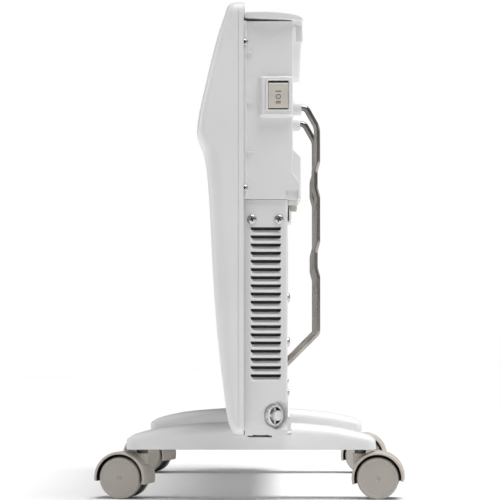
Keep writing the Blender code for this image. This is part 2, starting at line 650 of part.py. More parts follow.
def rounded_path(corners):
    """Points along straight runs joined by arcs; each corner is (place, radius, steps)."""
    places = [Vector(place) for place, _, _ in corners]
    points = [places[0]]
    for i, (_, radius, steps) in enumerate(corners[1:-1], 1):
        at = places[i]
        back, ahead = (places[i - 1] - at).normalized(), (places[i + 1] - at).normalized()
        half = back.angle(ahead) / 2
        sweep = math.pi - 2 * half
        centre = at + (back + ahead).normalized() * (radius / math.sin(half))
        start = at + back * (radius / math.tan(half)) - centre
        end = at + ahead * (radius / math.tan(half)) - centre
        for k in range(steps + 1):
            turn = sweep * k / steps
            weights = math.sin(sweep - turn), math.sin(turn)
            points.append(centre + (start * weights[0] + end * weights[1]) / math.sin(sweep))
    return points + [places[-1]]


def rear_rod(name, side, finish):
    """Bent round rod: out of its collar, down past two jogs, and back in below."""
    x = side * ROD_X
    corners = [((x, ROD_END_Y, ROD_TOP_Z), 0, 0), ((x, ROD_SHOULDER_Y, ROD_TOP_Z), 0.007, 5),
               ((x, ROD_Y, ROD_SHOULDER_Z), 0.016, 3)]
    for z in ROD_JOGS:
        for y, height in ((ROD_Y, z + ROD_JOG_OUTER), (ROD_Y - ROD_JOG, z + ROD_JOG_INNER),
                          (ROD_Y - ROD_JOG, z - ROD_JOG_INNER), (ROD_Y, z - ROD_JOG_OUTER)):
            corners.append(((x, y, height), 0.016, 2))
    corners += [((x, ROD_Y, ROD_BEND_Z), 0.006, 4),
                ((x, ROD_END_Y, ROD_BEND_Z - (ROD_Y - ROD_END_Y)), 0, 0)]
    curve = bpy.data.curves.new(name, "CURVE")
    curve.dimensions = "3D"
    curve.bevel_depth = ROD_RADIUS
    curve.bevel_resolution = 2
    curve.use_fill_caps = True
    spline = curve.splines.new("POLY")
    route = rounded_path(corners)
    spline.points.add(len(route) - 1)
    for point, place in zip(spline.points, route):
        point.co = (*place, 1.0)
    rod = bpy.data.objects.new(name, curve)
    bpy.context.scene.collection.objects.link(rod)
    rod.parent = bpy.data.objects["heater"]
    curve.materials.append(finish)


def rod_collar(name, side, finish):
    low, high = CASE_REAR + GAP, COLLAR_END
    bore = ROD_RADIUS + 0.0004
    profile = [(bore, low), (COLLAR_RADIUS, low), (COLLAR_RADIUS, high - 0.0012),
               (COLLAR_RADIUS - 0.0010, high), (bore, high)]
    make(name, facing(turned(profile, 20), (0, 1, 0), (side * ROD_X, 0, ROD_TOP_Z)), finish)


# ---------------------------------------------------------------- fasteners

def pan_screw(name, head_radius, shank_radius, seat, axis, location, finish):
    """Pan-head screw: seat is the height of the sheet's face along the axis."""
    head = 0.42 * head_radius + 0.0004
    profile = [
        (0, seat - 0.0060), (shank_radius, seat - 0.0060), (shank_radius, seat + GAP),
        (head_radius, seat + GAP), (head_radius * 0.96, seat + 0.45 * head),
        (head_radius * 0.70, seat + 0.88 * head), (0, seat + head),
    ]
    make(name, facing(turned(profile, 14), axis, location), finish)


def fasteners(steel):
    for name, (y, z) in zip(("side_screw_front", "side_screw_rear"), SIDE_SCREWS):
        pan_screw(name, 0.0046, 0.0018, CASE_HALF_WIDTH, (1, 0, 0), (0, y, z), steel)
    for name, (y, z) in zip(("housing_screw_upper", "housing_screw_lower"), HOUSING_SCREWS):
        pan_screw(name, 0.0032, 0.0013, RIM_FACE, (1, 0, 0), (0, y, z), steel)
    for name, x, z, radius in REAR_SCREWS:
        pan_screw(name, radius, 0.0017, CASE_REAR, (0, 1, 0), (x, 0, z), steel)
    for side, name in ((1, "right_foot_bolt"), (-1, "left_foot_bolt")):
        head = [(0.0058 * math.cos(math.radians(60 * k)), 0.0058 * math.sin(math.radians(60 * k)))
                for k in range(6)]
        place = (side * FOOT_X, BOLT_Y, 0)
        bolt = make(name, moved(prism(head, 0.0517, 0.0557, "Z"), place), steel)
        combine(bolt, moved(cylinder(0.0030, 0.0550, 0.0720, 12), place), "UNION")


# ---------------------------------------------------------------- inner parts

def inner_parts(mica, bright, dark, pale):
    """Two heating panels in their rails, the reflector, and the electrical parts."""
    half = 0.231
    for name, side in (("right_heating_panel", 1), ("left_heating_panel", -1)):
        x0, x1 = sorted((side * 0.004, side * 0.229))
        make(name, box((x0, 0.0058, 0.0964), (x1, 0.0112, 0.4436)), mica)
    lower = [(0.0045, 0.095), (0.0125, 0.095), (0.0125, 0.103), (0.0115, 0.103),
             (0.0115, 0.096), (0.0055, 0.096), (0.0055, 0.103), (0.0045, 0.103)]
    upper = [(y, 0.540 - z) for y, z in lower]
    make("lower_element_rail", prism(lower, -half, half, "X"), bright)
    make("upper_element_rail", prism(upper, -half, half, "X"), bright)
    tray = [(0.0130, 0.092), (0.0210, 0.092), (0.0210, 0.452), (0.0130, 0.452),
            (0.0130, 0.451), (0.0200, 0.451), (0.0200, 0.093), (0.0130, 0.093)]
    make("heat_reflector", prism(tray, -half, half, "X"), bright)
    cutout = [(0, 0.0213), (0.0100, 0.0213), (0.0100, 0.0223), (0.0078, 0.0223),
              (0.0078, 0.0290), (0, 0.0290)]
    make("thermal_cutout", facing(turned(cutout, 16), (0, 1, 0), (0.050, 0, 0.425)), dark)
    make("tip_over_switch", box((0.205, 0.020, 0.069), (0.235, 0.034, 0.089)), dark)
    teeth = []
    for k in range(4):
        x = 0.246 + 0.011 * k
        teeth += [(x, 0.357), (x + 0.007, 0.357), (x + 0.007, 0.353), (x + 0.011, 0.353)]
    outline = [(0.246, 0.345), (0.290, 0.345)] + list(reversed(teeth[:-1]))
    make("terminal_block", prism(outline, 0.0240, 0.0380, "Y"), pale)


def cord_gland(finish):
    """Sleeve under the right housing where a supply lead would leave it."""
    x, y = 0.2685, 0.0430
    plate = box((x - 0.0065, y - 0.0051, 0.2900), (x + 0.0065, y + 0.0051, SPLIT_Z - GAP))
    gland = make("cord_gland", plate, finish)
    combine(gland, moved(turned([(0, 0.2840), (0.0036, 0.2840), (0.0042, 0.2905),
                                 (0, 0.2905)], 16), (x, y, 0)), "UNION")
    return combine(gland, moved(cylinder(0.0022, 0.280, 0.300, 12), (x, y, 0)))


# ---------------------------------------------------------------- assembly

def outward_reach(end):
    """How far the castors at one end reach from y = 0, with their turn at rest."""
    turns = [math.radians(abs(turned_by)) for _, _, at, turned_by in CASTORS if at == end]
    stem = STEM_SPACING + end * FOOT_MID_Y
    return max(stem + (TRAIL + HOOD_RADIUS) * math.cos(t) + HOOD_HALF_WIDTH * math.sin(t)
               for t in turns)


def build():
    for obj in list(bpy.data.objects):
        bpy.data.objects.remove(obj)
    # The origin is the middle of the footprint, so the whole heater moves to it.
    empty("heater", (0, (outward_reach(-1) - outward_reach(1)) / 2, 0))

    white_plastic = material("white_plastic", (0.80, 0.80, 0.79), 0.35)
    white_paint = material("white_paint", (0.78, 0.78, 0.77), 0.42)
    grille_paint = material("grille_paint", (0.72, 0.72, 0.71), 0.45)
    grey_plastic = material("grey_plastic", (0.36, 0.33, 0.29), 0.5)
    rocker_plastic = material("rocker_plastic", (0.46, 0.42, 0.36), 0.4)
    dark_plastic = material("dark_plastic", (0.05, 0.05, 0.05), 0.5)
    chrome = material("chrome", (0.62, 0.60, 0.57), 0.18, 1.0)
    steel = material("zinc_steel", (0.55, 0.54, 0.52), 0.35, 1.0)
    dark_steel = material("dark_steel", (0.12, 0.11, 0.10), 0.45, 1.0)
    mica = material("mica_board", (0.42, 0.33, 0.22), 0.6)
    bright_sheet = material("bright_sheet", (0.75, 0.75, 0.76), 0.3, 1.0)

    front_bezel(white_plastic)
    front_grille(grille_paint)
    side_panel("right_side_panel", 1, white_paint)
    side_panel("left_side_panel", -1, white_paint)
    rear_panel(white_paint)
    bottom_panel(white_paint)
    end_housing("control_housing", 1, white_plastic, True)
    end_housing("left_end_housing", -1, white_plastic, False)
    top_cap(white_plastic)
    switch_parts(rocker_plastic, rocker_plastic, dark_plastic)
    thermostat_parts(white_plastic, dark_plastic)
    cord_gland(rocker_plastic)
    inner_parts(mica, bright_sheet, dark_plastic, white_plastic)
    for side, hand in ((1, "right"), (-1, "left")):
        foot(f"{hand}_foot", side, white_plastic)
        rear_rod(f"{hand}_rear_rod", side, chrome)
        rod_collar(f"{hand}_rod_collar", side, white_plastic)
    for name, side, end, degrees_turned in CASTORS:
        castor(name, side, end, degrees_turned, grey_plastic, dark_steel)
    fasteners(steel)


build()
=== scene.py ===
"""The looks of a slim panel heater on castors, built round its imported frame.

Lengths are in metres, +Z is up, the front faces -Y and the controls are on the +X end.
Outlines repeat the CAD model's sizes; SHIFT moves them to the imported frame's middle.
"""
import math

import bmesh
import bpy
from mathutils import Matrix, Vector


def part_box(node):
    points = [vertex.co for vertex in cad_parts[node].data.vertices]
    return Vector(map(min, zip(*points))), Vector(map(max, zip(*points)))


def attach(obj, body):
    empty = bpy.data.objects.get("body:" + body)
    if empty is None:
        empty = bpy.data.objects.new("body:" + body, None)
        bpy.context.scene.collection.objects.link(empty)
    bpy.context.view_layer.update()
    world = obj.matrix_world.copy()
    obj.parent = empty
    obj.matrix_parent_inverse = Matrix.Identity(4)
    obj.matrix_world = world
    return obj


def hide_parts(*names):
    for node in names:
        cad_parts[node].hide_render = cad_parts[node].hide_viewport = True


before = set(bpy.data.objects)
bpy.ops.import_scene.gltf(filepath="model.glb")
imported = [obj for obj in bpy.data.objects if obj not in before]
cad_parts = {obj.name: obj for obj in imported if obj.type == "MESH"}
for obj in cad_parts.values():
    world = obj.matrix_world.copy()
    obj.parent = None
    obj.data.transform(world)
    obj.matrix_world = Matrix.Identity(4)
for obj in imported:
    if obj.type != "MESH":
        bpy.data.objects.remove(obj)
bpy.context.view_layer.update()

# ---------------------------------------------------------------- sizes

CASE_REAR = 0.0375
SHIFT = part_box("rear_panel")[1].y - CASE_REAR
CASE_HALF_WIDTH = 0.298
CASE_BOTTOM, CASE_TOP = 0.0658, 0.4685
SHEET = 0.0012
TUCK = -0.009
SPLIT_Z = 0.2944

SURROUND_PROFILE = (
    (0.0660, -0.0146), (0.0720, -0.0178), (0.0800, -0.0204), (0.0980, -0.0233),
    (0.1300, -0.0270), (0.1680, -0.0310), (0.2260, -0.0350), (0.2840, -0.0379),
    (0.3220, -0.0408), (0.3420, -0.0447), (0.3530, -0.0492), (0.3600, -0.0505),
    (0.3700, -0.0497), (0.4000, -0.0437), (0.4590, -0.0290), (0.4740, -0.0237),
    (0.4820, -0.0214), (0.4855, -0.0190), (0.4870, -0.0165),
)
SURROUND_HALF_WIDTH, SURROUND_REAR, SURROUND_WALL = 0.309, -0.0050, 0.003
SURROUND_HOLLOW_TOP, SURROUND_CORNER = 0.474, 0.012
WINDOW_HALF_WIDTH, WINDOW_BOTTOM, WINDOW_TOP, WINDOW_CORNER = 0.276, 0.112, 0.446, 0.018
GRILLE_OVERLAP, GRILLE_ROWS, GRILLE_COLUMNS, GRILLE_PITCH = 0.006, 26, 3, 0.012

LOUVRE_COUNT, LOUVRE_PITCH, LOUVRE_TOP = 19, 0.00793, 0.2674
LOUVRE_HEIGHT, LOUVRE_FRONT, LOUVRE_REAR, LOUVRE_DEPTH = 0.0066, 0.0015, 0.0312, 0.0036
LOUVRE_SLIT = 0.0029
SIDE_SCREWS = ((0.0029, 0.2748), (0.0291, 0.2748))

HOUSING_HALF_WIDTH, HOUSING_INNER, HOUSING_WALL = 0.300, 0.236, 0.0025
HOUSING_REAR, HOUSING_TOP = 0.0426, 0.4683
RIM_FACE, RIM_REAR = 0.3035, -0.0024
HOUSING_SCREWS = ((-0.0042, 0.4470), (-0.0042, 0.3050))

SWITCH_Y, SWITCH_Z, PAD_FACE = 0.0286, 0.3955, 0.3065
ROCKER_PIVOT_X, ROCKER_HALF_LENGTH, ROCKER_HALF_WIDTH = 0.3045, 0.0130, 0.0096

CAP_HALF_WIDTH, CAP_BULGE = 0.3025, 0.0035
TAB_END, TAB_THICKNESS = 0.262, 0.010

THERMOSTAT_AT = (0.2916, 0.0262, 0.0846)
SCOOP_RADIUS, SCOOP_FLOOR = 0.0139, -0.0051
KNOB_RING_RADIUS, KNOB_HUB_RADIUS, KNOB_HUB_TIP = 0.01025, 0.0050, 0.0038

FOOT_X, FOOT_HALF_WIDTH, FOOT_MID_Y, FOOT_HALF_LENGTH = 0.225, 0.024, 0.0012, 0.1237
FOOT_BOTTOM, FOOT_CROWN, FOOT_CURVE, FOOT_EDGE_RADIUS = 0.0492, 0.0760, 1.450, 0.010
FOOT_FALL_FROM, FOOT_FALLS, FOOT_END_RADIUS = 0.085, (0.0030, 0.0034), 0.009
SADDLE_FLOOR, SADDLE_REAR, SADDLE_CLEARANCE = 0.0640, 0.0410, 0.0006
SADDLE_WELL = (-0.0020, 0.0220, 0.0615)
SCOOP_HOLE_MARGIN = 0.0007
TREAD_LIP, HOOD_SKIN = 0.0080, 0.0002
STEM_SPACING, WHEEL_RADIUS, WHEEL_INNER, WHEEL_OUTER = 0.1088, 0.0209, 0.0031, 0.0205
TRAIL, HOOD_RADIUS, HOOD_WALL, HOOD_HALF_WIDTH, HOOD_WEB = 0.0180, 0.0260, 0.0026, 0.0215, 0.0026
AXLE_RADIUS = 0.0030
CASTORS = (
    ("right_front", 1, -1, -12.0), ("right_rear", 1, 1, -4.0),
    ("left_front", -1, -1, -17.0), ("left_rear", -1, 1, -5.0),
)

ROD_X, ROD_RADIUS, ROD_TOP_Z, ROD_Y, ROD_JOG = 0.103, 0.00325, 0.401, 0.0687, 0.0026
ROD_SHOULDER_Y, ROD_SHOULDER_Z = 0.0570, 0.3801
ROD_JOGS, ROD_JOG_OUTER, ROD_JOG_INNER = (0.3255, 0.2415), 0.0180, 0.0085
ROD_BEND_Z, ROD_END_Y = 0.1645, 0.0340
COLLAR_RADIUS, COLLAR_END = 0.0084, 0.0522
BOLT_Y = 0.0110
REAR_SCREWS = (
    ("rear_screw_upper", 0.262, 0.1994, 0.0048), ("rear_screw_middle", 0.262, 0.1558, 0.0048),
    ("rear_screw_lower_right", 0.272, 0.1063, 0.0032),
    ("rear_screw_lower_left", -0.272, 0.1063, 0.0032),
)
GAP = 0.0003

# Studio: the camera, and the lights as (place, power), with the sun's strength in W per m2.
CAMERA_AT, CAMERA_TOWARD, CAMERA_LENS = (2.717, 0.0345, 0.1676), (-1.0, -0.0138443, 0.0321027), 179.4
SUN, FRONT_LIGHT, REAR_LIGHT = ((0.30, 0.60, 2.5), 3.25), ((-0.2, -2.2, 0.8), 11), (
    (-0.2, 2.2, 1.0), 4)
SUN_ANGLE, WORLD_GLOW, WORLD_SEEN, FLOOR_HALF = 35, 0.20, 1.0, 60.0


# ---------------------------------------------------------------- materials

def surface(name, tones, rough, cloud=14.0, metallic=0.0, grain=(900.0, 0.10, 0.0001),
            stretch=(1, 1, 1), ior=1.47, coat=0.0):
    """Procedural finish: drifting tone and roughness, and a fine grain in relief.

    tones are the two colours it drifts between, rough the two roughnesses, and grain the
    grain's scale per metre, its strength and its height in metres.
    """
    made = bpy.data.materials.new(name)
    made.use_nodes = True
    tree = made.node_tree
    shader = tree.nodes["Principled BSDF"]
    shader.inputs["Metallic"].default_value = metallic
    shader.inputs["IOR"].default_value = ior
    shader.inputs["Coat Weight"].default_value = coat
    coords = tree.nodes.new("ShaderNodeTexCoord")
    mapping = tree.nodes.new("ShaderNodeMapping")
    mapping.inputs["Scale"].default_value = stretch
    tree.links.new(coords.outputs["Object"], mapping.inputs["Vector"])

    def field(scale, detail):
        node = tree.nodes.new("ShaderNodeTexNoise")
        node.inputs["Scale"].default_value = scale
        node.inputs["Detail"].default_value = detail
        tree.links.new(mapping.outputs["Vector"], node.inputs["Vector"])
        return node

    drift = field(cloud, 4.0)
    ramp = tree.nodes.new("ShaderNodeValToRGB")
    ramp.color_ramp.elements[0].position, ramp.color_ramp.elements[1].position = 0.32, 0.68
    for element, tone in zip(ramp.color_ramp.elements, tones):
        element.color = (*tone, 1.0)
    tree.links.new(drift.outputs["Fac"], ramp.inputs["Fac"])
    tree.links.new(ramp.outputs["Color"], shader.inputs["Base Color"])

    polish = field(cloud * 3.7, 3.0)
    spread = tree.nodes.new("ShaderNodeMapRange")
    spread.inputs["From Min"].default_value, spread.inputs["From Max"].default_value = 0.3, 0.7
    spread.inputs["To Min"].default_value, spread.inputs["To Max"].default_value = rough
    tree.links.new(polish.outputs["Fac"], spread.inputs["Value"])
    tree.links.new(spread.outputs["Result"], shader.inputs["Roughness"])

    relief = field(grain[0], 2.0)
    bump = tree.nodes.new("ShaderNodeBump")
    bump.inputs["Strength"].default_value = grain[1]
    bump.inputs["Distance"].default_value = grain[2]
    tree.links.new(relief.outputs["Fac"], bump.inputs["Height"])
    tree.links.new(bump.outputs["Normal"], shader.inputs["Normal"])
    return made


FINISH = {
    "white_plastic": surface("moulded_white", ((0.765, 0.770, 0.765), (0.800, 0.803, 0.797)),
                             (0.30, 0.40), grain=(1500.0, 0.14, 0.00012)),
    "white_paint": surface("powder_coat", ((0.745, 0.750, 0.747), (0.775, 0.779, 0.775)),
                           (0.38, 0.50), grain=(700.0, 0.22, 0.00016)),
    "grille_paint": surface("grille_coat", ((0.700, 0.703, 0.700), (0.735, 0.738, 0.733)),
                            (0.40, 0.52), grain=(700.0, 0.22, 0.00016)),
    "grey_plastic": surface("castor_grey", ((0.520, 0.474, 0.420), (0.575, 0.528, 0.472)),
                            (0.42, 0.55), grain=(1300.0, 0.20, 0.00015)),
    "wheel_grey": surface("wheel_grey", ((0.430, 0.402, 0.362), (0.475, 0.446, 0.404)),
                          (0.44, 0.58), grain=(1200.0, 0.22, 0.00016)),
    "rocker_plastic": surface("rocker_tan", ((0.560, 0.525, 0.465), (0.610, 0.574, 0.512)),
                              (0.28, 0.38), grain=(1700.0, 0.10, 0.00010)),
    # Dark plastic of the inner switch and thermostat bodies, the safety switches and the black wheel
    # cores; also used as painted shade behind the louvres, inside the castor hoods and in the knob's
    # hollow.
    "dark_plastic": surface("dark_moulding_and_painted_shade", ((0.030, 0.029, 0.028), (0.045, 0.044, 0.042)),
                            (0.45, 0.60), grain=(1200.0, 0.25, 0.00015)),
    "chrome": surface("nickel_rod", ((0.250, 0.235, 0.220), (0.420, 0.395, 0.365)),
                      (0.10, 0.22), cloud=60.0, metallic=1.0, grain=(500.0, 0.06, 0.00008),
                      stretch=(1.0, 1.0, 0.10)),
    "zinc_steel": surface("zinc_plate", ((0.520, 0.515, 0.500), (0.660, 0.655, 0.640)),
                          (0.22, 0.36), cloud=220.0, metallic=1.0,
                          grain=(1600.0, 0.12, 0.00008)),
    # Dark steel of the castor stems and axles; also painted shade in the screws' cross recesses.
    "dark_steel": surface("blued_steel_and_recess_shade", ((0.085, 0.078, 0.070), (0.130, 0.120, 0.108)),
                          (0.34, 0.50), cloud=90.0, metallic=1.0,
                          grain=(1600.0, 0.12, 0.00008)),
    "mica_board": surface("mica_board", ((0.240, 0.180, 0.115), (0.420, 0.335, 0.225)),
                          (0.35, 0.60), cloud=160.0, grain=(420.0, 0.35, 0.00025)),
    "bright_sheet": surface("bright_sheet", ((0.610, 0.612, 0.620), (0.700, 0.702, 0.710)),
                            (0.24, 0.38), cloud=40.0, metallic=1.0,
                            grain=(900.0, 0.16, 0.00010), stretch=(0.06, 1.0, 1.0)),
    "ink": surface("mark_ink", ((0.050, 0.046, 0.042), (0.070, 0.066, 0.060)),
                   (0.45, 0.60), cloud=300.0, grain=(2500.0, 0.10, 0.00005)),
}


# ---------------------------------------------------------------- shape helpers

def corner(a, b, depth, axis):
    """A point from two outline coordinates and a depth along the named axis."""
    return {"X": (depth, a, b), "Y": (a, depth, b), "Z": (a, b, depth)}[axis]


def loft(rings, around=False):
    """Closed mesh through rings of as many points; around joins the last ring to the first."""
    bm = bmesh.new()
    loops = [[bm.verts.new(point) for point in ring] for ring in rings]
    pairs = list(zip(loops, loops[1:]))
    if around:
        pairs.append((loops[-1], loops[0]))
    for lower, upper in pairs:
        for i, vert in enumerate(lower):
            j = (i + 1) % len(lower)
            bm.faces.new((vert, lower[j], upper[j], upper[i]))
    if not around:
        bm.faces.new(loops[0][::-1])
        bm.faces.new(loops[-1])
    return bm


def prism(outline, low, high, axis):
    return loft([[corner(a, b, depth, axis) for a, b in outline] for depth in (low, high)])


def rectangle(a_low, a_high, b_low, b_high):
    return [(a_low, b_low), (a_high, b_low), (a_high, b_high), (a_low, b_high)]


def box(low, high):
    return prism(rectangle(low[1], high[1], low[2], high[2]), low[0], high[0], "X")


def rounded(points, radius, steps=5):
    """Closed outline with its corners turned into arcs; radius is a number or one per corner."""
    count, out = len(points), []
    radii = radius if isinstance(radius, (list, tuple)) else [radius] * count
    for i, here in enumerate(points):
        at = Vector(here)
        back, ahead = Vector(points[i - 1]) - at, Vector(points[(i + 1) % count]) - at
        angle = back.angle(ahead)
        reach = radii[i] / math.tan(angle / 2)
        reach = min(reach, 0.48 * back.length, 0.48 * ahead.length)
        if reach < 1e-5 or angle > 3.10:
            out.append(tuple(at))
            continue
        back.normalize()
        ahead.normalize()
        bend = reach * math.tan(angle / 2)
        centre = at + (back + ahead).normalized() * (bend / math.sin(angle / 2))
        start, end = at + back * reach - centre, at + ahead * reach - centre
        sweep = math.pi - angle
        for k in range(steps + 1):
            t = sweep * k / steps
            arm = (start * math.sin(sweep - t) + end * math.sin(t)) / math.sin(sweep)
            out.append(tuple(centre + arm))
    return out


def inset(outline, amount):
    """The outline drawn in by an amount, point by point."""
    count = len(outline)
    area = sum(outline[i - 1][0] * outline[i][1] - outline[i][0] * outline[i - 1][1]
               for i in range(count))
    turn = 1.0 if area > 0 else -1.0
    out = []
    for i, (a, b) in enumerate(outline):
        before = (Vector((a, b)) - Vector(outline[i - 1])).normalized()
        after = (Vector(outline[(i + 1) % count]) - Vector((a, b))).normalized()
        first, second = Vector((-before.y, before.x)), Vector((-after.y, after.x))
        middle = (first + second).normalized()
        scale = amount * turn / max(middle.dot(first), 0.4)
        out.append((a + middle.x * scale, b + middle.y * scale))
    return out


def pillow(outline, low, high, axis, radius, ends=(True, True), steps=3):
    """Prism with rounded edges at the ends that are asked for."""
    turns = [math.pi / 2 * k / steps for k in range(steps + 1)]
    rings = []
    if ends[0]:
        rings += [(low + radius * (1 - math.sin(t)), radius * (1 - math.cos(t)))
                  for t in reversed(turns)]
    else:
        rings.append((low, 0.0))
    if ends[1]:
        rings += [(high - radius * (1 - math.sin(t)), radius * (1 - math.cos(t))) for t in turns]
    else:
        rings.append((high, 0.0))
    rings.sort()
    return loft([[corner(a, b, depth, axis) for a, b in (inset(outline, draw) if draw else outline)]
                 for depth, draw in rings])


def turned(profile, segments):
    """Solid of revolution about Z from a closed profile of (radius, height)."""
    bm = bmesh.new()
    turns = [2 * math.pi * k / segments for k in range(segments)]
    rings = [
        [bm.verts.new((radius * math.cos(t), radius * math.sin(t), height)) for t in turns]
        if radius else [bm.verts.new((0, 0, height))]
        for radius, height in profile
    ]
    for ring, after in zip(rings, rings[1:] + rings[:1]):
        if len(ring) == len(after) == 1:
            continue
        for k in range(segments):
            n = (k + 1) % segments
            around = (ring[k % len(ring)], ring[n % len(ring)],
                      after[n % len(after)], after[k % len(after)])
            bm.faces.new(list(dict.fromkeys(around)))
    return bm


def cylinder(radius, low, high, segments=32):
    return turned([(0, low), (radius, low), (radius, high), (0, high)], segments)


def tube(points, radius, sides=24):
    """Round bar along a path, with flat ends."""
    path = [Vector(point) for point in points]
    side = Vector((1, 0, 0))
    rings = []
    for i, at in enumerate(path):
        along = (path[min(i + 1, len(path) - 1)] - path[max(i - 1, 0)]).normalized()
        side = (side - along * side.dot(along)).normalized()
        other = along.cross(side)
        rings.append([at + (side * math.cos(t) + other * math.sin(t)) * radius
                      for t in (2 * math.pi * k / sides for k in range(sides))])
    return loft(rings)


def moved(bm, offset):
    bmesh.ops.translate(bm, verts=bm.verts, vec=Vector(offset))
    return bm


def shaped(bm, matrix):
    bmesh.ops.transform(bm, matrix=matrix, verts=bm.verts)
    return bm


def facing(bm, axis, location=(0, 0, 0), spin=0.0):
    """Turns a mesh made about Z so that Z points along axis, and moves it."""
    turn = Vector((0, 0, 1)).rotation_difference(Vector(axis)).to_matrix().to_4x4()
    return shaped(bm, Matrix.Translation(location) @ turn @ Matrix.Rotation(spin, 4, "Z"))


def joined(meshes):
    """One bmesh that holds several closed shapes."""
    whole = bmesh.new()
    for bm in meshes:
        scratch = bpy.data.meshes.new("scratch")
        bm.to_mesh(scratch)
        bm.free()
        whole.from_mesh(scratch)
        bpy.data.meshes.remove(scratch)
    return whole


def as_object(name, bm):
    bmesh.ops.recalc_face_normals(bm, faces=bm.faces)
    mesh = bpy.data.meshes.new(name)
    bm.to_mesh(mesh)
    bm.free()
    made = bpy.data.objects.new(name, mesh)
    bpy.context.scene.collection.objects.link(made)
    return made


def boolean(bm, other, operation="DIFFERENCE"):
    """The Boolean of two closed meshes, as a new bmesh. Both are used up."""
    base, tool = as_object("base", bm), as_object("tool", other)
    modifier = base.modifiers.new("join", "BOOLEAN")
    modifier.operation, modifier.object = operation, tool
    for solver in ("MANIFOLD", "EXACT"):
        modifier.solver = solver
        bpy.context.view_layer.update()
        done = base.evaluated_get(bpy.context.evaluated_depsgraph_get())
        result = bmesh.new()
        result.from_mesh(done.to_mesh())
        done.to_mesh_clear()
        if result.faces:
            break
        result.free()
    for helper in (base, tool):
        mesh = helper.data
        bpy.data.objects.remove(helper)
        bpy.data.meshes.remove(mesh)
    bmesh.ops.remove_doubles(result, verts=result.verts, dist=1e-7)
    return result


def piece(name, bm, slot, body="case", nodes=(), finish=None, inner=None, sharp=32):
    """A finished piece: shaded, in its procedural finish, on its body, in place of its nodes.

    inner is the finish of the faces whose material index is 1.
    """
    moved(bm, (0, SHIFT, 0))
    made = as_object(name, bm)
    made.data.shade_smooth()
    made.data.set_sharp_from_angle(angle=math.radians(sharp))
    for held in (finish or slot, inner):
        if held:
            made.data.materials.append(FINISH[held])
    weighted = made.modifiers.new("weighted", "WEIGHTED_NORMAL")
    weighted.keep_sharp = True
    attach(made, body)
    if nodes:
        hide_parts(*nodes)
    return made


def spread(low, high, count):
    return [low + (high - low) * k / (count - 1) for k in range(count)]


def ease(t):
    t = min(max(t, 0.0), 1.0)
    return t * t * (3 - 2 * t)


# ---------------------------------------------------------------- front

def slopes(profile):
    """Slope at each profile point for a curve through them that never overshoots."""
    steps = [(y1 - y0) / (z1 - z0) for (z0, y0), (z1, y1) in zip(profile, profile[1:])]
    inner = [0.0 if a * b <= 0 else 2 * a * b / (a + b) for a, b in zip(steps, steps[1:])]
    return [steps[0]] + inner + [steps[-1]]


PROFILE_SLOPES = slopes(SURROUND_PROFILE)


def front_depth(height):
    """Y of the surround's smooth front face at a height."""
    height = min(max(height, SURROUND_PROFILE[0][0]), SURROUND_PROFILE[-1][0])
    for i, ((z0, y0), (z1, y1)) in enumerate(zip(SURROUND_PROFILE, SURROUND_PROFILE[1:])):
        if height <= z1:
            span = z1 - z0
            t = (height - z0) / span
            m0, m1 = PROFILE_SLOPES[i] * span, PROFILE_SLOPES[i + 1] * span
            return ((2 * t**3 - 3 * t**2 + 1) * y0 + (t**3 - 2 * t**2 + t) * m0
                    + (3 * t**2 - 2 * t**3) * y1 + (t**3 - t**2) * m1)
    return SURROUND_PROFILE[-1][1]


def surround_heights(low, high, parts=4):
    marks = [z for z, _ in SURROUND_PROFILE]
    fine = [z0 + (z1 - z0) * k / parts for z0, z1 in zip(marks, marks[1:]) for k in range(parts)]
    return [low] + [z for z in fine if low + 1e-5 < z < high - 1e-5] + [high]


def corner_inset(height):
    """How far the surround's side draws in at its rounded top and bottom corners."""
    low, high = SURROUND_PROFILE[0][0], SURROUND_PROFILE[-1][0]
    past = max(SURROUND_CORNER - min(height - low, high - height), 0.0)
    return SURROUND_CORNER - math.sqrt(max(SURROUND_CORNER**2 - past**2, 0.0))


def surround_section(height, draw, rear):
    """Horizontal section: flat sides, and front corners rounder in the lower half."""
    front = front_depth(height) + draw
    half = SURROUND_HALF_WIDTH - draw - corner_inset(height)
    deep = 0.0155 - 0.0080 * ease((height - 0.325) / 0.05)
    round_y = min(deep, 0.55 * (SURROUND_REAR - front))
    round_x = 0.012
    turns = [math.pi / 2 * k / 8 for k in range(9)]
    right = [(half, rear)] + [(half - round_x * (1 - math.cos(t)),
                               front + round_y * (1 - math.sin(t))) for t in turns]
    return [(x, y, height) for x, y in right + [(-x, y) for x, y in reversed(right)]]


def window_outline(grow):
    return rounded(rectangle(-WINDOW_HALF_WIDTH - grow, WINDOW_HALF_WIDTH + grow,
                             WINDOW_BOTTOM - grow, WINDOW_TOP + grow), WINDOW_CORNER + grow, 8)


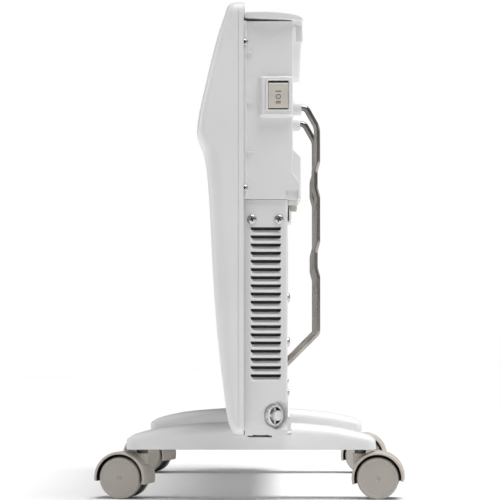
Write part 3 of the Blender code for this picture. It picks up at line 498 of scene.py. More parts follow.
def front_bezel():
    low, high = SURROUND_PROFILE[0][0], SURROUND_PROFILE[-1][0]
    shell = loft([surround_section(z, 0.0, SURROUND_REAR) for z in surround_heights(low, high)])
    hollow = surround_heights(low + SURROUND_WALL, SURROUND_HOLLOW_TOP, 2)
    shell = boolean(shell, loft([surround_section(z, SURROUND_WALL, 0.01) for z in hollow]))
    shell = boolean(shell, prism(window_outline(0.0), -0.080, 0.010, "Y"))
    # The parting line between the front shell and its rear flange, on both sides.
    grooves = [box((side * SURROUND_HALF_WIDTH - 0.0007, -0.0104, low + 0.004),
                   (side * SURROUND_HALF_WIDTH + 0.0007, -0.0099, 0.4800)) for side in (-1, 1)]
    shell = boolean(shell, joined(grooves))
    piece("front_bezel_shell", shell, "white_plastic", nodes=("front_bezel",))

    # A rounded bead finishes the edge of the opening.
    route = []
    for x, z in inset(window_outline(0.0), -0.0004):
        route.append(Vector((x, front_depth(z) + 0.0011, z)))
    dense = []
    for here, after in zip(route, route[1:] + route[:1]):
        parts = max(1, round((after - here).length / 0.006))
        for k in range(parts):
            point = here.lerp(after, k / parts)
            dense.append(Vector((point.x, front_depth(point.z) + 0.0011, point.z)))
    rings = []
    middle = Vector((0, 0, (WINDOW_BOTTOM + WINDOW_TOP) / 2))
    for i, at in enumerate(dense):
        along = (dense[(i + 1) % len(dense)] - dense[i - 1]).normalized()
        out = Vector((0, -1, 0))
        out = (out - along * out.dot(along)).normalized()
        side = along.cross(out)
        rings.append([at + (side * math.cos(t) + out * math.sin(t)) * 0.0019
                      for t in (2 * math.pi * k / 12 for k in range(12))])
    piece("front_bezel_bead", loft(rings, around=True), "white_plastic")


def front_grille():
    """Curved sheet with three columns of long round-ended slots."""
    low, high = WINDOW_BOTTOM - GRILLE_OVERLAP, WINDOW_TOP + GRILLE_OVERLAP
    face = SURROUND_WALL + 0.0004
    outline = [(front_depth(z) + face, z) for z in surround_heights(low, high, 3)]
    outline += [(y + SHEET, z) for y, z in reversed(outline)]
    half = WINDOW_HALF_WIDTH + GRILLE_OVERLAP
    sheet = prism(outline, -half, half, "X")
    column = 2 * (WINDOW_HALF_WIDTH - 0.010) / GRILLE_COLUMNS
    middle = (WINDOW_BOTTOM + WINDOW_TOP) / 2
    slots = []
    for i in range(GRILLE_COLUMNS):
        x = (i - (GRILLE_COLUMNS - 1) / 2) * column
        for j in range(GRILLE_ROWS):
            z = middle + (j - (GRILLE_ROWS - 1) / 2) * GRILLE_PITCH
            slot = rounded(rectangle(x - column / 2 + 0.004, x + column / 2 - 0.004,
                                     z - 0.003, z + 0.003), 0.00298, 5)
            slots.append(prism(slot, -0.080, 0.0, "Y"))
    piece("front_grille_sheet", boolean(sheet, joined(slots)), "grille_paint",
          nodes=("front_grille",))


# ---------------------------------------------------------------- case panels

def thermostat_place():
    """Takes Z to the thermostat's axis, half-way between right and rear."""
    half = math.sqrt(0.5)
    turn = Matrix(((-half, 0, half), (half, 0, half), (0, 1, 0))).to_4x4()
    return Matrix.Translation(THERMOSTAT_AT) @ turn


def scoop_cutter(radius, bottom):
    return shaped(cylinder(radius, bottom, 0.060, 48), thermostat_place())


def side_panel(name, side):
    """Sheet with pressed louvres: each tongue dips in to a lip, and leaves a slit above it."""
    bend = 0.0022
    reach = LOUVRE_REAR - LOUVRE_FRONT
    edge = [0.0, 0.0004, 0.0009, 0.0016, 0.0026, 0.0038]
    across = ([TUCK, -0.0040, LOUVRE_FRONT - 0.0014] + [LOUVRE_FRONT + e for e in edge]
              + [LOUVRE_FRONT + reach * k / 5 for k in range(1, 5)]
              + [LOUVRE_REAR - e for e in reversed(edge)] + [LOUVRE_REAR + 0.0014])
    lines = [(y, 0.0) for y in across]
    lines += [(CASE_REAR - bend, math.radians(18 * k)) for k in range(6)]

    def ramp(y):
        return ease((y - LOUVRE_FRONT) / 0.0036) * ease((LOUVRE_REAR - y) / 0.0036)

    def open_height(y):
        past = min(y - LOUVRE_FRONT, LOUVRE_REAR - y) / 0.0015
        if past < 0:
            return LOUVRE_SLIT
        past = min(past, 1.0)
        return 0.0003 + (LOUVRE_SLIT - 0.0003) * math.sqrt(max(1 - (1 - past) ** 2, 0.0))

    # Each row is (height, share of the louvre's depth, whether it is the lip of the slit).
    rows = [(CASE_BOTTOM, 0, False), (0.0700, 0, False), (0.0850, 0, False), (0.1000, 0, False)]
    for i in reversed(range(LOUVRE_COUNT)):
        top = LOUVRE_TOP - i * LOUVRE_PITCH
        bottom = top - LOUVRE_HEIGHT - 0.0006
        lip = top - LOUVRE_SLIT
        for share in (0.0, 0.15, 0.35, 0.55, 0.78):
            rows.append((bottom + (lip - bottom) * share, share, False))
        rows += [(lip, 1.0, True), (top, 0.0, False)]
    rows += [(LOUVRE_TOP + 0.0030, 0, False), (SPLIT_Z - 0.0005, 0, False)]

    bm = bmesh.new()
    grid = []
    for height, share, is_lip in rows:
        line = []
        for y, angle in lines:
            depth = LOUVRE_DEPTH * (share ** 1.35) * ramp(y) if angle == 0 else 0.0
            z = height + (LOUVRE_SLIT - open_height(y) if is_lip else 0.0)
            x = CASE_HALF_WIDTH - depth - bend * (1 - math.cos(angle))
            line.append(bm.verts.new((side * x, y + bend * math.sin(angle), z)))
        grid.append(line)
    for r, (lower, upper) in enumerate(zip(grid, grid[1:])):
        for c in range(len(lines) - 1):
            if rows[r][2] and LOUVRE_FRONT <= lines[c][0] and lines[c + 1][0] <= LOUVRE_REAR:
                continue
            bm.faces.new((lower[c], lower[c + 1], upper[c + 1], upper[c]))
    bmesh.ops.recalc_face_normals(bm, faces=bm.faces)
    bm.faces.ensure_lookup_table()
    if bm.faces[0].normal.x * side < 0:
        bmesh.ops.reverse_faces(bm, faces=bm.faces)
    bm.normal_update()
    bmesh.ops.solidify(bm, geom=bm.faces[:], thickness=SHEET)
    # The lower rear corner is rounded, and the front edge tucks into the surround.
    trim = rounded([(TUCK - 0.001, 0.0700), (-0.0040, 0.0700), (-0.0040, CASE_BOTTOM + 0.00005),
                    (CASE_REAR + 0.00001, CASE_BOTTOM + 0.00005), (CASE_REAR + 0.00001, 0.300),
                    (TUCK - 0.001, 0.300)], [0, 0, 0, 0.0042, 0, 0], 6)
    bm = boolean(bm, prism(trim, *sorted((side * 0.280, side * 0.305)), "X"), "INTERSECT")
    if side > 0:
        bm = boolean(bm, scoop_cutter(SCOOP_RADIUS + SCOOP_HOLE_MARGIN, SCOOP_FLOOR - 0.0018))
    piece(f"{name}_louvred", bm, "white_paint", nodes=(name,))


def rear_panel():
    """Back sheet with rows of round-ended slots and a pressed frame round each group."""
    wide, narrow = CASE_HALF_WIDTH - 0.0023, HOUSING_INNER - 0.0005
    bottom, step, top = CASE_BOTTOM + 0.0006, SPLIT_Z - 0.0005, CASE_TOP - 0.0007
    outline = [(-wide, bottom), (wide, bottom), (wide, step), (narrow, step),
               (narrow, top), (-narrow, top), (-narrow, step), (-wide, step)]
    panel = prism(outline, CASE_REAR - SHEET, CASE_REAR, "Y")
    frames = []
    for low, high in ((0.078, 0.107), (0.208, 0.262), (0.293, 0.347)):
        outer = rounded(rectangle(-0.200, 0.200, low, high), 0.006, 6)
        rings = [(0.0, -0.0004), (0.0004, 0.0003), (0.0012, 0.0006), (0.0020, 0.0006),
                 (0.0028, 0.0003), (0.0032, -0.0004)]
        frames.append(loft([[(x, CASE_REAR + lift, z) for x, z in inset(outer, draw)]
                            for draw, lift in rings], around=True))
    panel = boolean(panel, joined(frames), "UNION")
    slots = []
    for z in (0.085, 0.100, 0.215, 0.235, 0.255, 0.300, 0.320, 0.340):
        for x in (-0.165, -0.055, 0.055, 0.165):
            slot = rounded(rectangle(x - 0.0225, x + 0.0225, z - 0.0025, z + 0.0025), 0.00248, 5)
            slots.append(prism(slot, 0.030, 0.045, "Y"))
    end_z = ROD_BEND_Z - (ROD_Y - CASE_REAR)
    slots += [facing(cylinder(radius, 0.030, 0.045, 32), (0, 1, 0), (x, 0, z))
              for x in (-ROD_X, ROD_X)
              for z, radius in ((ROD_TOP_Z, ROD_RADIUS + 0.0006), (end_z, 0.0062))]
    panel = boolean(panel, joined(slots))
    panel = boolean(panel, scoop_cutter(SCOOP_RADIUS + SCOOP_HOLE_MARGIN, SCOOP_FLOOR - 0.0018))
    piece("rear_panel_pressed", panel, "white_paint", nodes=("rear_panel",))


def louvre_shade_board(hand, side):
    """Dark board behind the louvres, pressed with a shallow frame; it is painted shade, so the slits
    read black.
    """
    low, high = LOUVRE_TOP - LOUVRE_COUNT * LOUVRE_PITCH - 0.004, LOUVRE_TOP + 0.003
    outline = rounded(rectangle(-0.0010, 0.0345, low, high), 0.0020, 3)
    board = pillow(outline, *sorted((side * 0.2885, side * 0.2897)), "X", 0.0002)
    piece(f"{hand}_louvre_shade_board", board, "dark_plastic")


# ---------------------------------------------------------------- upper end housings

def end_housing(name, side):
    """Moulded housing with soft edges, a raised front rim and small ribs behind it."""
    with_switch = side > 0
    rear, low, top = HOUSING_REAR, SPLIT_Z, HOUSING_TOP

    def span(a, b):
        return sorted((side * a, side * b))

    def outer_end(is_high):
        return (False, True) if (side > 0) == is_high else (True, False)

    if with_switch:
        near = rounded([(TUCK, low), (0.0495, low), (0.0495, 0.311), (rear, 0.320),
                        (rear, top), (TUCK, top)], [0, 0.0010, 0.0016, 0.0030, 0.0008, 0], 5)
        far = rounded([(TUCK, low), (0.0503, low), (0.0503, 0.3366), (rear, 0.344),
                       (rear, top), (TUCK, top)], [0, 0.0010, 0.0020, 0.0030, 0.0008, 0], 5)
        hollow = [(0.0470, 0.2969), (0.0470, 0.3090), (0.0401, 0.3180)]
    else:
        near = far = rounded([(TUCK, low), (rear, low), (rear, top), (TUCK, top)],
                             [0, 0.0014, 0.0008, 0], 5)
        hollow = [(0.0401, 0.2969)]
    shell = pillow(near, *span(0.288, HOUSING_HALF_WIDTH), "X", 0.0009, outer_end(True), 4)
    shell = boolean(shell, pillow(far, *span(HOUSING_INNER, 0.2885), "X", 0.0007,
                                  outer_end(True), 3), "UNION")
    hollow = ([(TUCK + HOUSING_WALL, 0.2969)] + hollow
              + [(0.0401, top - HOUSING_WALL), (TUCK + HOUSING_WALL, top - HOUSING_WALL)])
    shell = boolean(shell, prism(hollow, *span(HOUSING_INNER - 0.005,
                                               HOUSING_HALF_WIDTH - HOUSING_WALL), "X"))
    rim = pillow(rectangle(TUCK, RIM_REAR, low, top), *span(0.2985, RIM_FACE), "X", 0.0008,
                 outer_end(True), 4)
    shell = boolean(shell, rim, "UNION")
    ribs = [pillow(rounded(rectangle(RIM_REAR - 0.001, RIM_REAR + 0.0068, z - 0.0008, z + 0.0008),
                           0.0006, 2), *span(0.2992, 0.3020), "X", 0.0004, outer_end(True), 2)
            for z in (0.438, 0.389, 0.341)]
    shell = boolean(shell, joined(ribs), "UNION")
    if with_switch:
        shell = switch_pad(shell)
    shell_name = f"{name}_shell"
    piece(shell_name, shell, "white_plastic", nodes=(name,))


def switch_pad(shell):
    """Raised pad with drafted sides round the rocker, the switch opening and the recess."""
    rear = HOUSING_REAR - 0.0002
    base = [(0.0085, 0.3735), (rear, 0.3735), (rear, 0.4150), (0.0085, 0.4150)]
    face = [(0.0125, 0.3760), (0.0424, 0.3760), (0.0424, 0.4130), (0.0125, 0.4130)]
    low_ring, high_ring = rounded(base, 0.0030, 5), rounded(face, 0.0022, 5)
    edge = 0.0010
    rings = [[(0.2985, y, z) for y, z in low_ring]]
    share = (PAD_FACE - edge - 0.2990) / (PAD_FACE - 0.2990)
    rings.append([(PAD_FACE - edge, y0 + (y1 - y0) * share, z0 + (z1 - z0) * share)
                  for (y0, z0), (y1, z1) in zip(low_ring, high_ring)])
    for k in range(1, 5):
        t = math.pi / 2 * k / 4
        rings.append([(PAD_FACE - edge * (1 - math.sin(t)), y, z)
                      for y, z in inset(high_ring, edge * (1 - math.cos(t)))])
    shell = boolean(shell, loft(rings), "UNION")
    opening = rounded(rectangle(SWITCH_Y - 0.0108, SWITCH_Y + 0.0108,
                                SWITCH_Z - 0.0143, SWITCH_Z + 0.0143), 0.0010, 3)
    shell = boolean(shell, prism(opening, 0.290, 0.312, "X"))
    recess = rounded(rectangle(0.0360, 0.0480, 0.2930, 0.3040), [0, 0, 0.0008, 0.0016], 4)
    shell = boolean(shell, prism(recess, 0.2981, 0.302, "X"))
    holes = [facing(cylinder(0.0017, 0.292, 0.306, 20), (1, 0, 0), (0, y, z))
             for y, z in HOUSING_SCREWS]
    return boolean(shell, joined(holes))


# ---------------------------------------------------------------- top cap

def cap_heights(y):
    """Lower and upper height of the cap's section."""
    top_line = ((-0.0045, 0.4760), (-0.0040, 0.4767), (-0.0032, 0.4770), (0.022, 0.4769),
                (0.038, 0.4756), (0.047, 0.4738), (0.0505, 0.4724), (0.0516, 0.4714),
                (0.0521, 0.4704), (0.0523, 0.4692))
    low_line = ((-0.0045, 0.4716), (-0.0040, 0.4711), (-0.0032, 0.4709), (0.046, 0.4687),
                (0.0510, 0.4681), (0.0518, 0.4682), (0.0523, 0.4688))
    found = []
    for line in (low_line, top_line):
        for (y0, z0), (y1, z1) in zip(line, line[1:]):
            if y <= y1 + 1e-9:
                found.append(z0 + (z1 - z0) * (y - y0) / (y1 - y0))
                break
    return found


def top_cap():
    depths = [-0.0045, -0.0042, -0.0038, -0.0032] + spread(0.0, 0.044, 14) + [
        0.046, 0.0475, 0.049, 0.0500, 0.0507, 0.0512, 0.0516, 0.0519, 0.0521, 0.0523]
    middle, half, edge = 0.024, 0.030, 0.0011

    def ring(side, back, draw):
        lows, highs = [], []
        for y in depths:
            reach = CAP_HALF_WIDTH + CAP_BULGE * (1 - ((y - middle) / half) ** 2)
            low, high = cap_heights(y)
            squeeze = min(draw, 0.45 * (high - low))
            x = side * (reach - back)
            lows.append((x, y, low + squeeze))
            highs.append((x, y, high - squeeze))
        return lows + highs[::-1]

    turns = [math.pi / 2 * k / 4 for k in range(5)]
    right = [(edge * (1 - math.sin(t)), edge * (1 - math.cos(t))) for t in turns]
    rings = [ring(-1, back, draw) for back, draw in reversed(right)]
    for x in spread(-0.28, 0.28, 9):
        rings.append([(x, y, z) for _, y, z in ring(1, 0.0, 0.0)])
    rings += [ring(1, back, draw) for back, draw in right]
    cap = bmesh.new()
    loops = [[cap.verts.new(point) for point in points] for points in rings]
    count = len(loops[0])
    for lower, upper in zip(loops, loops[1:]):
        for i in range(count):
            j = (i + 1) % count
            cap.faces.new((lower[i], lower[j], upper[j], upper[i]))
    for loop in (loops[0], loops[-1]):
        for i in range(count // 2 - 1):
            cap.faces.new((loop[i], loop[i + 1], loop[count - 2 - i], loop[count - 1 - i]))
    tab = rounded([(0.0458, 0.4525), (0.0518, 0.4525), (0.0526, 0.4536), (0.0520, 0.4695),
                    (0.0462, 0.4700)], [0.0012, 0.0004, 0.0004, 0.0004, 0.0004], 4)
    cap = boolean(cap, pillow(tab, TAB_END - TAB_THICKNESS, TAB_END, "X", 0.0006), "UNION")
    slots = []
    for x in (-0.186, -0.062, 0.062, 0.186):
        for y in (0.007, 0.017, 0.027):
            slot = rounded(rectangle(x - 0.0560, x + 0.0560, y - 0.0022, y + 0.0022), 0.00218, 5)
            slots.append(prism(slot, 0.460, 0.480, "Z"))
    piece("top_cap_moulding", boolean(cap, joined(slots)), "white_plastic", nodes=("top_cap",))


# ---------------------------------------------------------------- switch

def rocker_face(along):
    """How far the rocker's dished face stands out from its pivot, along its length."""
    share = min(abs(along) / (ROCKER_HALF_LENGTH - 0.0009), 1.0)
    return 0.0022 + 0.0021 * share ** 1.25


def switch():
    outer = [(0.0122, 0.0154, 0.0000, 0.0018), (0.0122, 0.0154, 0.0008, 0.0018),
             (0.0120, 0.0152, 0.0012, 0.0017), (0.0116, 0.0148, 0.0014, 0.0015),
             (0.0108, 0.0146, 0.0014, 0.0012), (0.0102, 0.0141, 0.0010, 0.0009),
             (0.0099, 0.01385, 0.0006, 0.0008), (0.0099, 0.01385, 0.0000, 0.0008)]
    rings = []
    for half_y, half_z, lift, bend in outer:
        outline = rounded(rectangle(SWITCH_Y - half_y, SWITCH_Y + half_y,
                                    SWITCH_Z - half_z, SWITCH_Z + half_z), bend, 5)
        rings.append([(PAD_FACE + max(lift, GAP), y, z) for y, z in outline])
    rings = rings[:-1] + [[(PAD_FACE + GAP, y, z) for _, y, z in rings[-1]]]
    piece("switch_bezel_frame", loft(rings, around=True), "rocker_plastic",
          nodes=("switch_bezel",), finish="white_plastic")

    # The upper end stops short of the frame, which leaves a dark gap above its bright ledge.
    half, top = ROCKER_HALF_LENGTH, ROCKER_HALF_LENGTH - 0.0013
    face = [(rocker_face(z), z) for z in spread(-half + 0.0009, top - 0.0009, 25)]
    outline = ([(-0.0042, 0.0), (-0.0030, -half * 0.55), (-0.0015, -half + 0.0004),
                (0.0030, -half), (0.0038, -half + 0.0003)] + face
               + [(0.0036, top - 0.0003), (0.0028, top), (-0.0015, top - 0.0004),
                  (-0.0030, top * 0.55)])
    body = pillow(outline, -ROCKER_HALF_WIDTH - 0.0001, ROCKER_HALF_WIDTH + 0.0001, "Y", 0.0007)
    place = Matrix.Translation((ROCKER_PIVOT_X, SWITCH_Y, SWITCH_Z))
    piece("switch_rocker_key", shaped(body, place), "rocker_plastic", body="rocker",
          nodes=("switch_rocker",))

    def bar(low_y, high_y, low_z, high_z):
        """A thin raised bar that follows the dished face."""
        rows = spread(low_z, high_z, 5)
        rings = []
        for z in rows:
            x = rocker_face(z)
            rings.append([(x - 0.0003, low_y, z), (x - 0.0003, high_y, z),
                          (x + 0.00010, high_y, z), (x + 0.00010, low_y, z)])
        return loft(rings)

    ring = []
    for k in range(40):
        t = 2 * math.pi * k / 40
        z0, y0 = 0.0024 * math.sin(t) - 0.0017, 0.0024 * math.cos(t)
        z1, y1 = 0.0018 * math.sin(t) - 0.0017, 0.0018 * math.cos(t)
        ring.append([(rocker_face(z0) - 0.0003, y0, z0), (rocker_face(z0) + 0.0001, y0, z0),
                     (rocker_face(z1) + 0.0001, y1, z1), (rocker_face(z1) - 0.0003, y1, z1)])
    marks = [bar(-0.0028, 0.0028, 0.0031, 0.0039), loft(ring, around=True),
             bar(-0.0024, 0.0024, -0.0067, -0.0060), bar(-0.0024, 0.0024, -0.0083, -0.0076)]
    piece("switch_rocker_marks", shaped(joined(marks), place), "rocker_plastic", body="rocker",
          finish="ink")


# ---------------------------------------------------------------- thermostat

def thermostat():
    place = thermostat_place()
    wall = SCOOP_RADIUS + 0.0008
    cup = [(0.0024, SCOOP_FLOOR - 0.0015), (wall, SCOOP_FLOOR - 0.0015), (wall, 0.025),
           (SCOOP_RADIUS, 0.025), (SCOOP_RADIUS, SCOOP_FLOOR + 0.0008),
           (SCOOP_RADIUS - 0.0003, SCOOP_FLOOR + 0.0002), (SCOOP_RADIUS - 0.0008, SCOOP_FLOOR),
           (0.0110, SCOOP_FLOOR), (0.0108, SCOOP_FLOOR - 0.0004), (0.0024, SCOOP_FLOOR - 0.0004)]
    keep = box((0.262, 0.008, 0.060), (CASE_HALF_WIDTH, CASE_REAR, 0.110))
    bm = boolean(shaped(turned(cup, 64), place), keep, "INTERSECT")
    piece("thermostat_cup", bm, "white_plastic", nodes=("thermostat_dial",))

    low = SCOOP_FLOOR + GAP
    radius, tip = KNOB_HUB_RADIUS, KNOB_HUB_TIP
    hub = [(0, SCOOP_FLOOR - 0.0014), (0.0020, SCOOP_FLOOR - 0.0014), (0.0020, low),
           (radius, low), (radius, tip - 0.0008), (radius - 0.0003, tip - 0.0002),
           (radius - 0.0009, tip), (radius - 0.0016, tip), (radius - 0.0019, tip - 0.0003),
           (0, tip - 0.0003)]
    ring = [(0.0083, low), (KNOB_RING_RADIUS - 0.0003, low), (KNOB_RING_RADIUS, low + 0.0003),
            (KNOB_RING_RADIUS, -0.0007), (KNOB_RING_RADIUS - 0.0002, -0.0002),
            (KNOB_RING_RADIUS - 0.0007, 0), (0.0088, 0), (0.0084, -0.0002), (0.0083, -0.0006)]
    dimples = []
    for k in range(8):
        turn = math.radians(22.5 + 45 * k)
        across = (math.cos(turn), math.sin(turn), 0.0)
        dimples.append(facing(cylinder(0.00095, 0.0070, 0.0120, 20), across, (0, 0, -0.0024)))
    rim = boolean(turned(ring, 96), joined(dimples))
    # A thin dark liner on the floor of the knob's hollow: painted shade, so the hollow and the
    # dimples read dark.
    shade_liner = [(0.0051, low + 0.0001), (0.00825, low + 0.0001), (0.00825, -0.0010),
            (0.0080, -0.0010), (0.0080, low + 0.0005), (0.0051, low + 0.0005)]
    piece("thermostat_shade_liner", shaped(turned(shade_liner, 64), place), "dark_plastic", body="knob")
    spokes = [rounded(rectangle(-0.0012, 0.0012, -0.0090, 0.0090), 0.0004, 3)]
    spokes.append([(b, -a) for a, b in spokes[0]])
    knob = turned(hub, 48)
    for spoke in spokes:
        knob = boolean(knob, pillow(spoke, low + 0.0006, -0.0012, "Z", 0.0003, (False, True), 2),
                       "UNION")
    knob = boolean(knob, rim, "UNION")
    # A raised pointer on the ring's front shows the setting.
    pointer = pillow(rounded(rectangle(-0.0005, 0.0005, 0.0085, 0.0100), 0.0003, 2),
                     -0.0006, 0.0003, "Z", 0.0001, (False, True), 2)
    knob = boolean(knob, pointer, "UNION")
    piece("thermostat_ring_knob", shaped(knob, place), "white_plastic", body="knob",
          nodes=("thermostat_knob",))


# ---------------------------------------------------------------- feet and castors

def foot_crown(y):
    """Height of the foot's crown at a distance along it from its middle."""
    end = max(abs(y) - FOOT_FALL_FROM, 0.0) / (FOOT_HALF_LENGTH - FOOT_FALL_FROM)
    return FOOT_CROWN - y**2 / FOOT_CURVE - FOOT_FALLS[0] * end - FOOT_FALLS[1] * end**6


def foot_half_width(y):
    """Half the foot's width, which draws in at its rounded ends."""
    past = max(FOOT_END_RADIUS - (FOOT_HALF_LENGTH - abs(y)), 0.0)
    return FOOT_HALF_WIDTH - FOOT_END_RADIUS + math.sqrt(max(FOOT_END_RADIUS**2 - past**2, 0.0))


def foot(name, side):
    """Bowed moulding, arched along its length, with ribs in its hollow underside."""
    stations = [1.0, 0.9993, 0.9975, 0.9945, 0.990, 0.984, 0.976, 0.966, 0.954, 0.94, 0.92,
                0.895, 0.86, 0.82, 0.77, 0.70, 0.60, 0.50, 0.40, 0.30, 0.20, 0.10, 0.0]
    stations = [-s for s in stations] + stations[-2::-1]
    rings = []
    for s in stations:
        y = s * FOOT_HALF_LENGTH
        height, half = foot_crown(y), foot_half_width(y)
        soft = 0.0016 - min(FOOT_HALF_LENGTH - abs(y), 0.0016)
        height -= 0.0016 - math.sqrt(max(0.0016**2 - soft**2, 0.0))
        radius = min(FOOT_EDGE_RADIUS, 0.55 * (height - FOOT_BOTTOM))
        bend = [(half - radius * (1 - math.cos(t)), height - radius * (1 - math.sin(t)))
                for t in (math.pi / 2 * k / 8 for k in range(9))]
        right = [(half - 0.0010, FOOT_BOTTOM), (half - 0.0003, FOOT_BOTTOM + 0.0003),
                 (half, FOOT_BOTTOM + 0.0010)] + bend
        section = right + [(-x, z) for x, z in reversed(right)]
        rings.append([(side * FOOT_X + x, FOOT_MID_Y + y, z) for x, z in section])
    body = loft(rings)
    x = side * FOOT_X
    front = [(front_depth(z) - SADDLE_CLEARANCE, z) for z in spread(0.0660, 0.0980, 9)]
    saddle = [(front[0][0], SADDLE_FLOOR)] + front + [(SADDLE_REAR, front[-1][1]),
                                                      (SADDLE_REAR, SADDLE_FLOOR)]
    body = boolean(body, prism(saddle, x - 0.030, x + 0.030, "X"))
    well_front, well_rear, well_floor = SADDLE_WELL
    body = boolean(body, box((x - 0.030, well_front, well_floor), (x + 0.030, well_rear, 0.070)))
    boss = turned([(0, 0.0580), (0.0080, 0.0580), (0.0080, 0.0653), (0.0076, 0.0657),
                   (0, 0.0657)], 40)
    body = boolean(body, moved(boss, (x, BOLT_Y, 0)), "UNION")
    pockets = []
    for y0, y1 in ((-0.0940, -0.0080), (0.0300, 0.0960)):
        cells = 3
        for k in range(cells):
            a = y0 + (y1 - y0) * k / cells + (0.0008 if k else 0.0)
            b = y0 + (y1 - y0) * (k + 1) / cells - (0.0008 if k < cells - 1 else 0.0)
            cell = rounded(rectangle(x - 0.0195, x + 0.0195, a, b), 0.0020, 3)
            pockets.append(prism(cell, 0.040, 0.0600, "Z"))
    sockets = [moved(cylinder(0.0044, 0.040, 0.0636), (x, FOOT_MID_Y + end * STEM_SPACING, 0))
               for end in (-1, 1)]
    bolt = turned([(0, 0.040), (0.0072, 0.040), (0.0072, 0.0560), (0.0034, 0.0560),
                   (0.0034, 0.080), (0, 0.080)], 32)
    body = boolean(body, joined(pockets + sockets + [moved(bolt, (x, BOLT_Y, 0))]))
    piece(f"{name}_moulding", body, "white_plastic", nodes=(name,))


def castor(name, side, end, degrees_turned):
    turn = math.radians((0 if end > 0 else 180) + degrees_turned)
    place = (Matrix.Translation((side * FOOT_X, FOOT_MID_Y + end * STEM_SPACING, 0))
             @ Matrix.Rotation(turn, 4, "Z"))
    centre = (0, TRAIL, WHEEL_RADIUS)
    turns = [math.radians(a) for a in spread(-7.0, 194.0, 49)]
    arch = [(TRAIL + HOOD_RADIUS * math.cos(a), WHEEL_RADIUS + HOOD_RADIUS * math.sin(a))
            for a in turns]
    inner = HOOD_RADIUS - HOOD_WALL
    hood = pillow(arch, -HOOD_HALF_WIDTH, HOOD_HALF_WIDTH, "X", 0.0014, steps=4)
    boss = turned([(0, 0.0345), (0.0070, 0.0345), (0.0070, 0.0442), (0.0064, 0.0448),
                   (0, 0.0448)], 32)
    hood = boolean(hood, boss, "UNION")
    wells = [facing(cylinder(inner, low, high, 72), (1, 0, 0), centre)
             for low, high in ((HOOD_WEB, 0.030), (-0.030, -HOOD_WEB))]
    hood = boolean(hood, joined(wells))
    bore = facing(cylinder(AXLE_RADIUS + GAP, -0.030, 0.030, 24), (1, 0, 0), centre)
    hood = boolean(hood, joined([bore, cylinder(0.0038, 0.0370, 0.060, 24)]))
    # The hood's well walls and web take the dark finish: painted shade in the gap round the wheels.
    for face in hood.faces:
        at = face.calc_center_median()
        reach = math.hypot(at.y - TRAIL, at.z - WHEEL_RADIUS)
        is_shaded_inside = HOOD_WEB - HOOD_SKIN < abs(at.x) < HOOD_HALF_WIDTH - HOOD_SKIN
        if reach < inner + HOOD_SKIN and is_shaded_inside:
            face.material_index = 1
    body = f"{name}_castor"
    piece(f"{name}_hood_shell", shaped(hood, place), "grey_plastic", body=body,
          nodes=(f"{name}_castor_hood",), inner="dark_plastic")

    rim, face = WHEEL_RADIUS, WHEEL_OUTER
    profile = [
        (AXLE_RADIUS + GAP, WHEEL_INNER), (rim - 0.0016, WHEEL_INNER),
        (rim - 0.0007, WHEEL_INNER + 0.0003), (rim - 0.0002, WHEEL_INNER + 0.0010),
        (rim, WHEEL_INNER + 0.0022), (rim, face - 0.0088), (rim - 0.0004, face - 0.0086),
        (rim - 0.0004, face - 0.0081), (rim, face - 0.0079), (rim, face - 0.0028),
        (rim - 0.0002, face - 0.0014),
        (rim - 0.0007, face - 0.0005), (rim - 0.0016, face), (rim - 0.0028, face),
        (rim - 0.0034, face - 0.0002), (rim - 0.0038, face - 0.0007), (0.0046, face - 0.0007),
        (0.0040, face - 0.0004), (0.0032, face - 0.0004), (0.0026, face - 0.0007),
        (0.0016, face - 0.0016), (0, face - 0.0017), (0, 0.0150), (AXLE_RADIUS + GAP, 0.0150),
    ]
    for where in ("outboard", "inboard"):
        outward = (1 if where == "outboard" else -1) * side * (1 if end > 0 else -1)
        wheel = turned(profile, 72)
        for part in wheel.faces:
            if part.calc_center_median().z < face - TREAD_LIP:
                part.material_index = 1
        wheel = shaped(wheel, place @ Matrix.Translation(centre)
                       @ Matrix.Rotation(math.radians(90 * outward), 4, "Y"))
        piece(f"{name}_{where}_tyre", wheel, "grey_plastic", body=f"{name}_{where}",
              nodes=(f"{name}_{where}_wheel",), finish="wheel_grey", inner="dark_plastic")


# ---------------------------------------------------------------- rear rods

def rounded_path(corners):
    """Points along straight runs joined by arcs; each corner is (place, radius)."""
    places = [Vector(place) for place, _ in corners]
    points = [places[0]]
    for i, (_, radius) in enumerate(corners[1:-1], 1):
        at = places[i]
        back, ahead = (places[i - 1] - at).normalized(), (places[i + 1] - at).normalized()
        half = back.angle(ahead) / 2
        sweep = math.pi - 2 * half
        centre = at + (back + ahead).normalized() * (radius / math.sin(half))
        start = at + back * (radius / math.tan(half)) - centre
        end = at + ahead * (radius / math.tan(half)) - centre
        steps = max(5, round(math.degrees(sweep) / 5))
        for k in range(steps + 1):
            turn = sweep * k / steps
            arm = start * math.sin(sweep - turn) + end * math.sin(turn)
            points.append(centre + arm / math.sin(sweep))
    return points + [places[-1]]


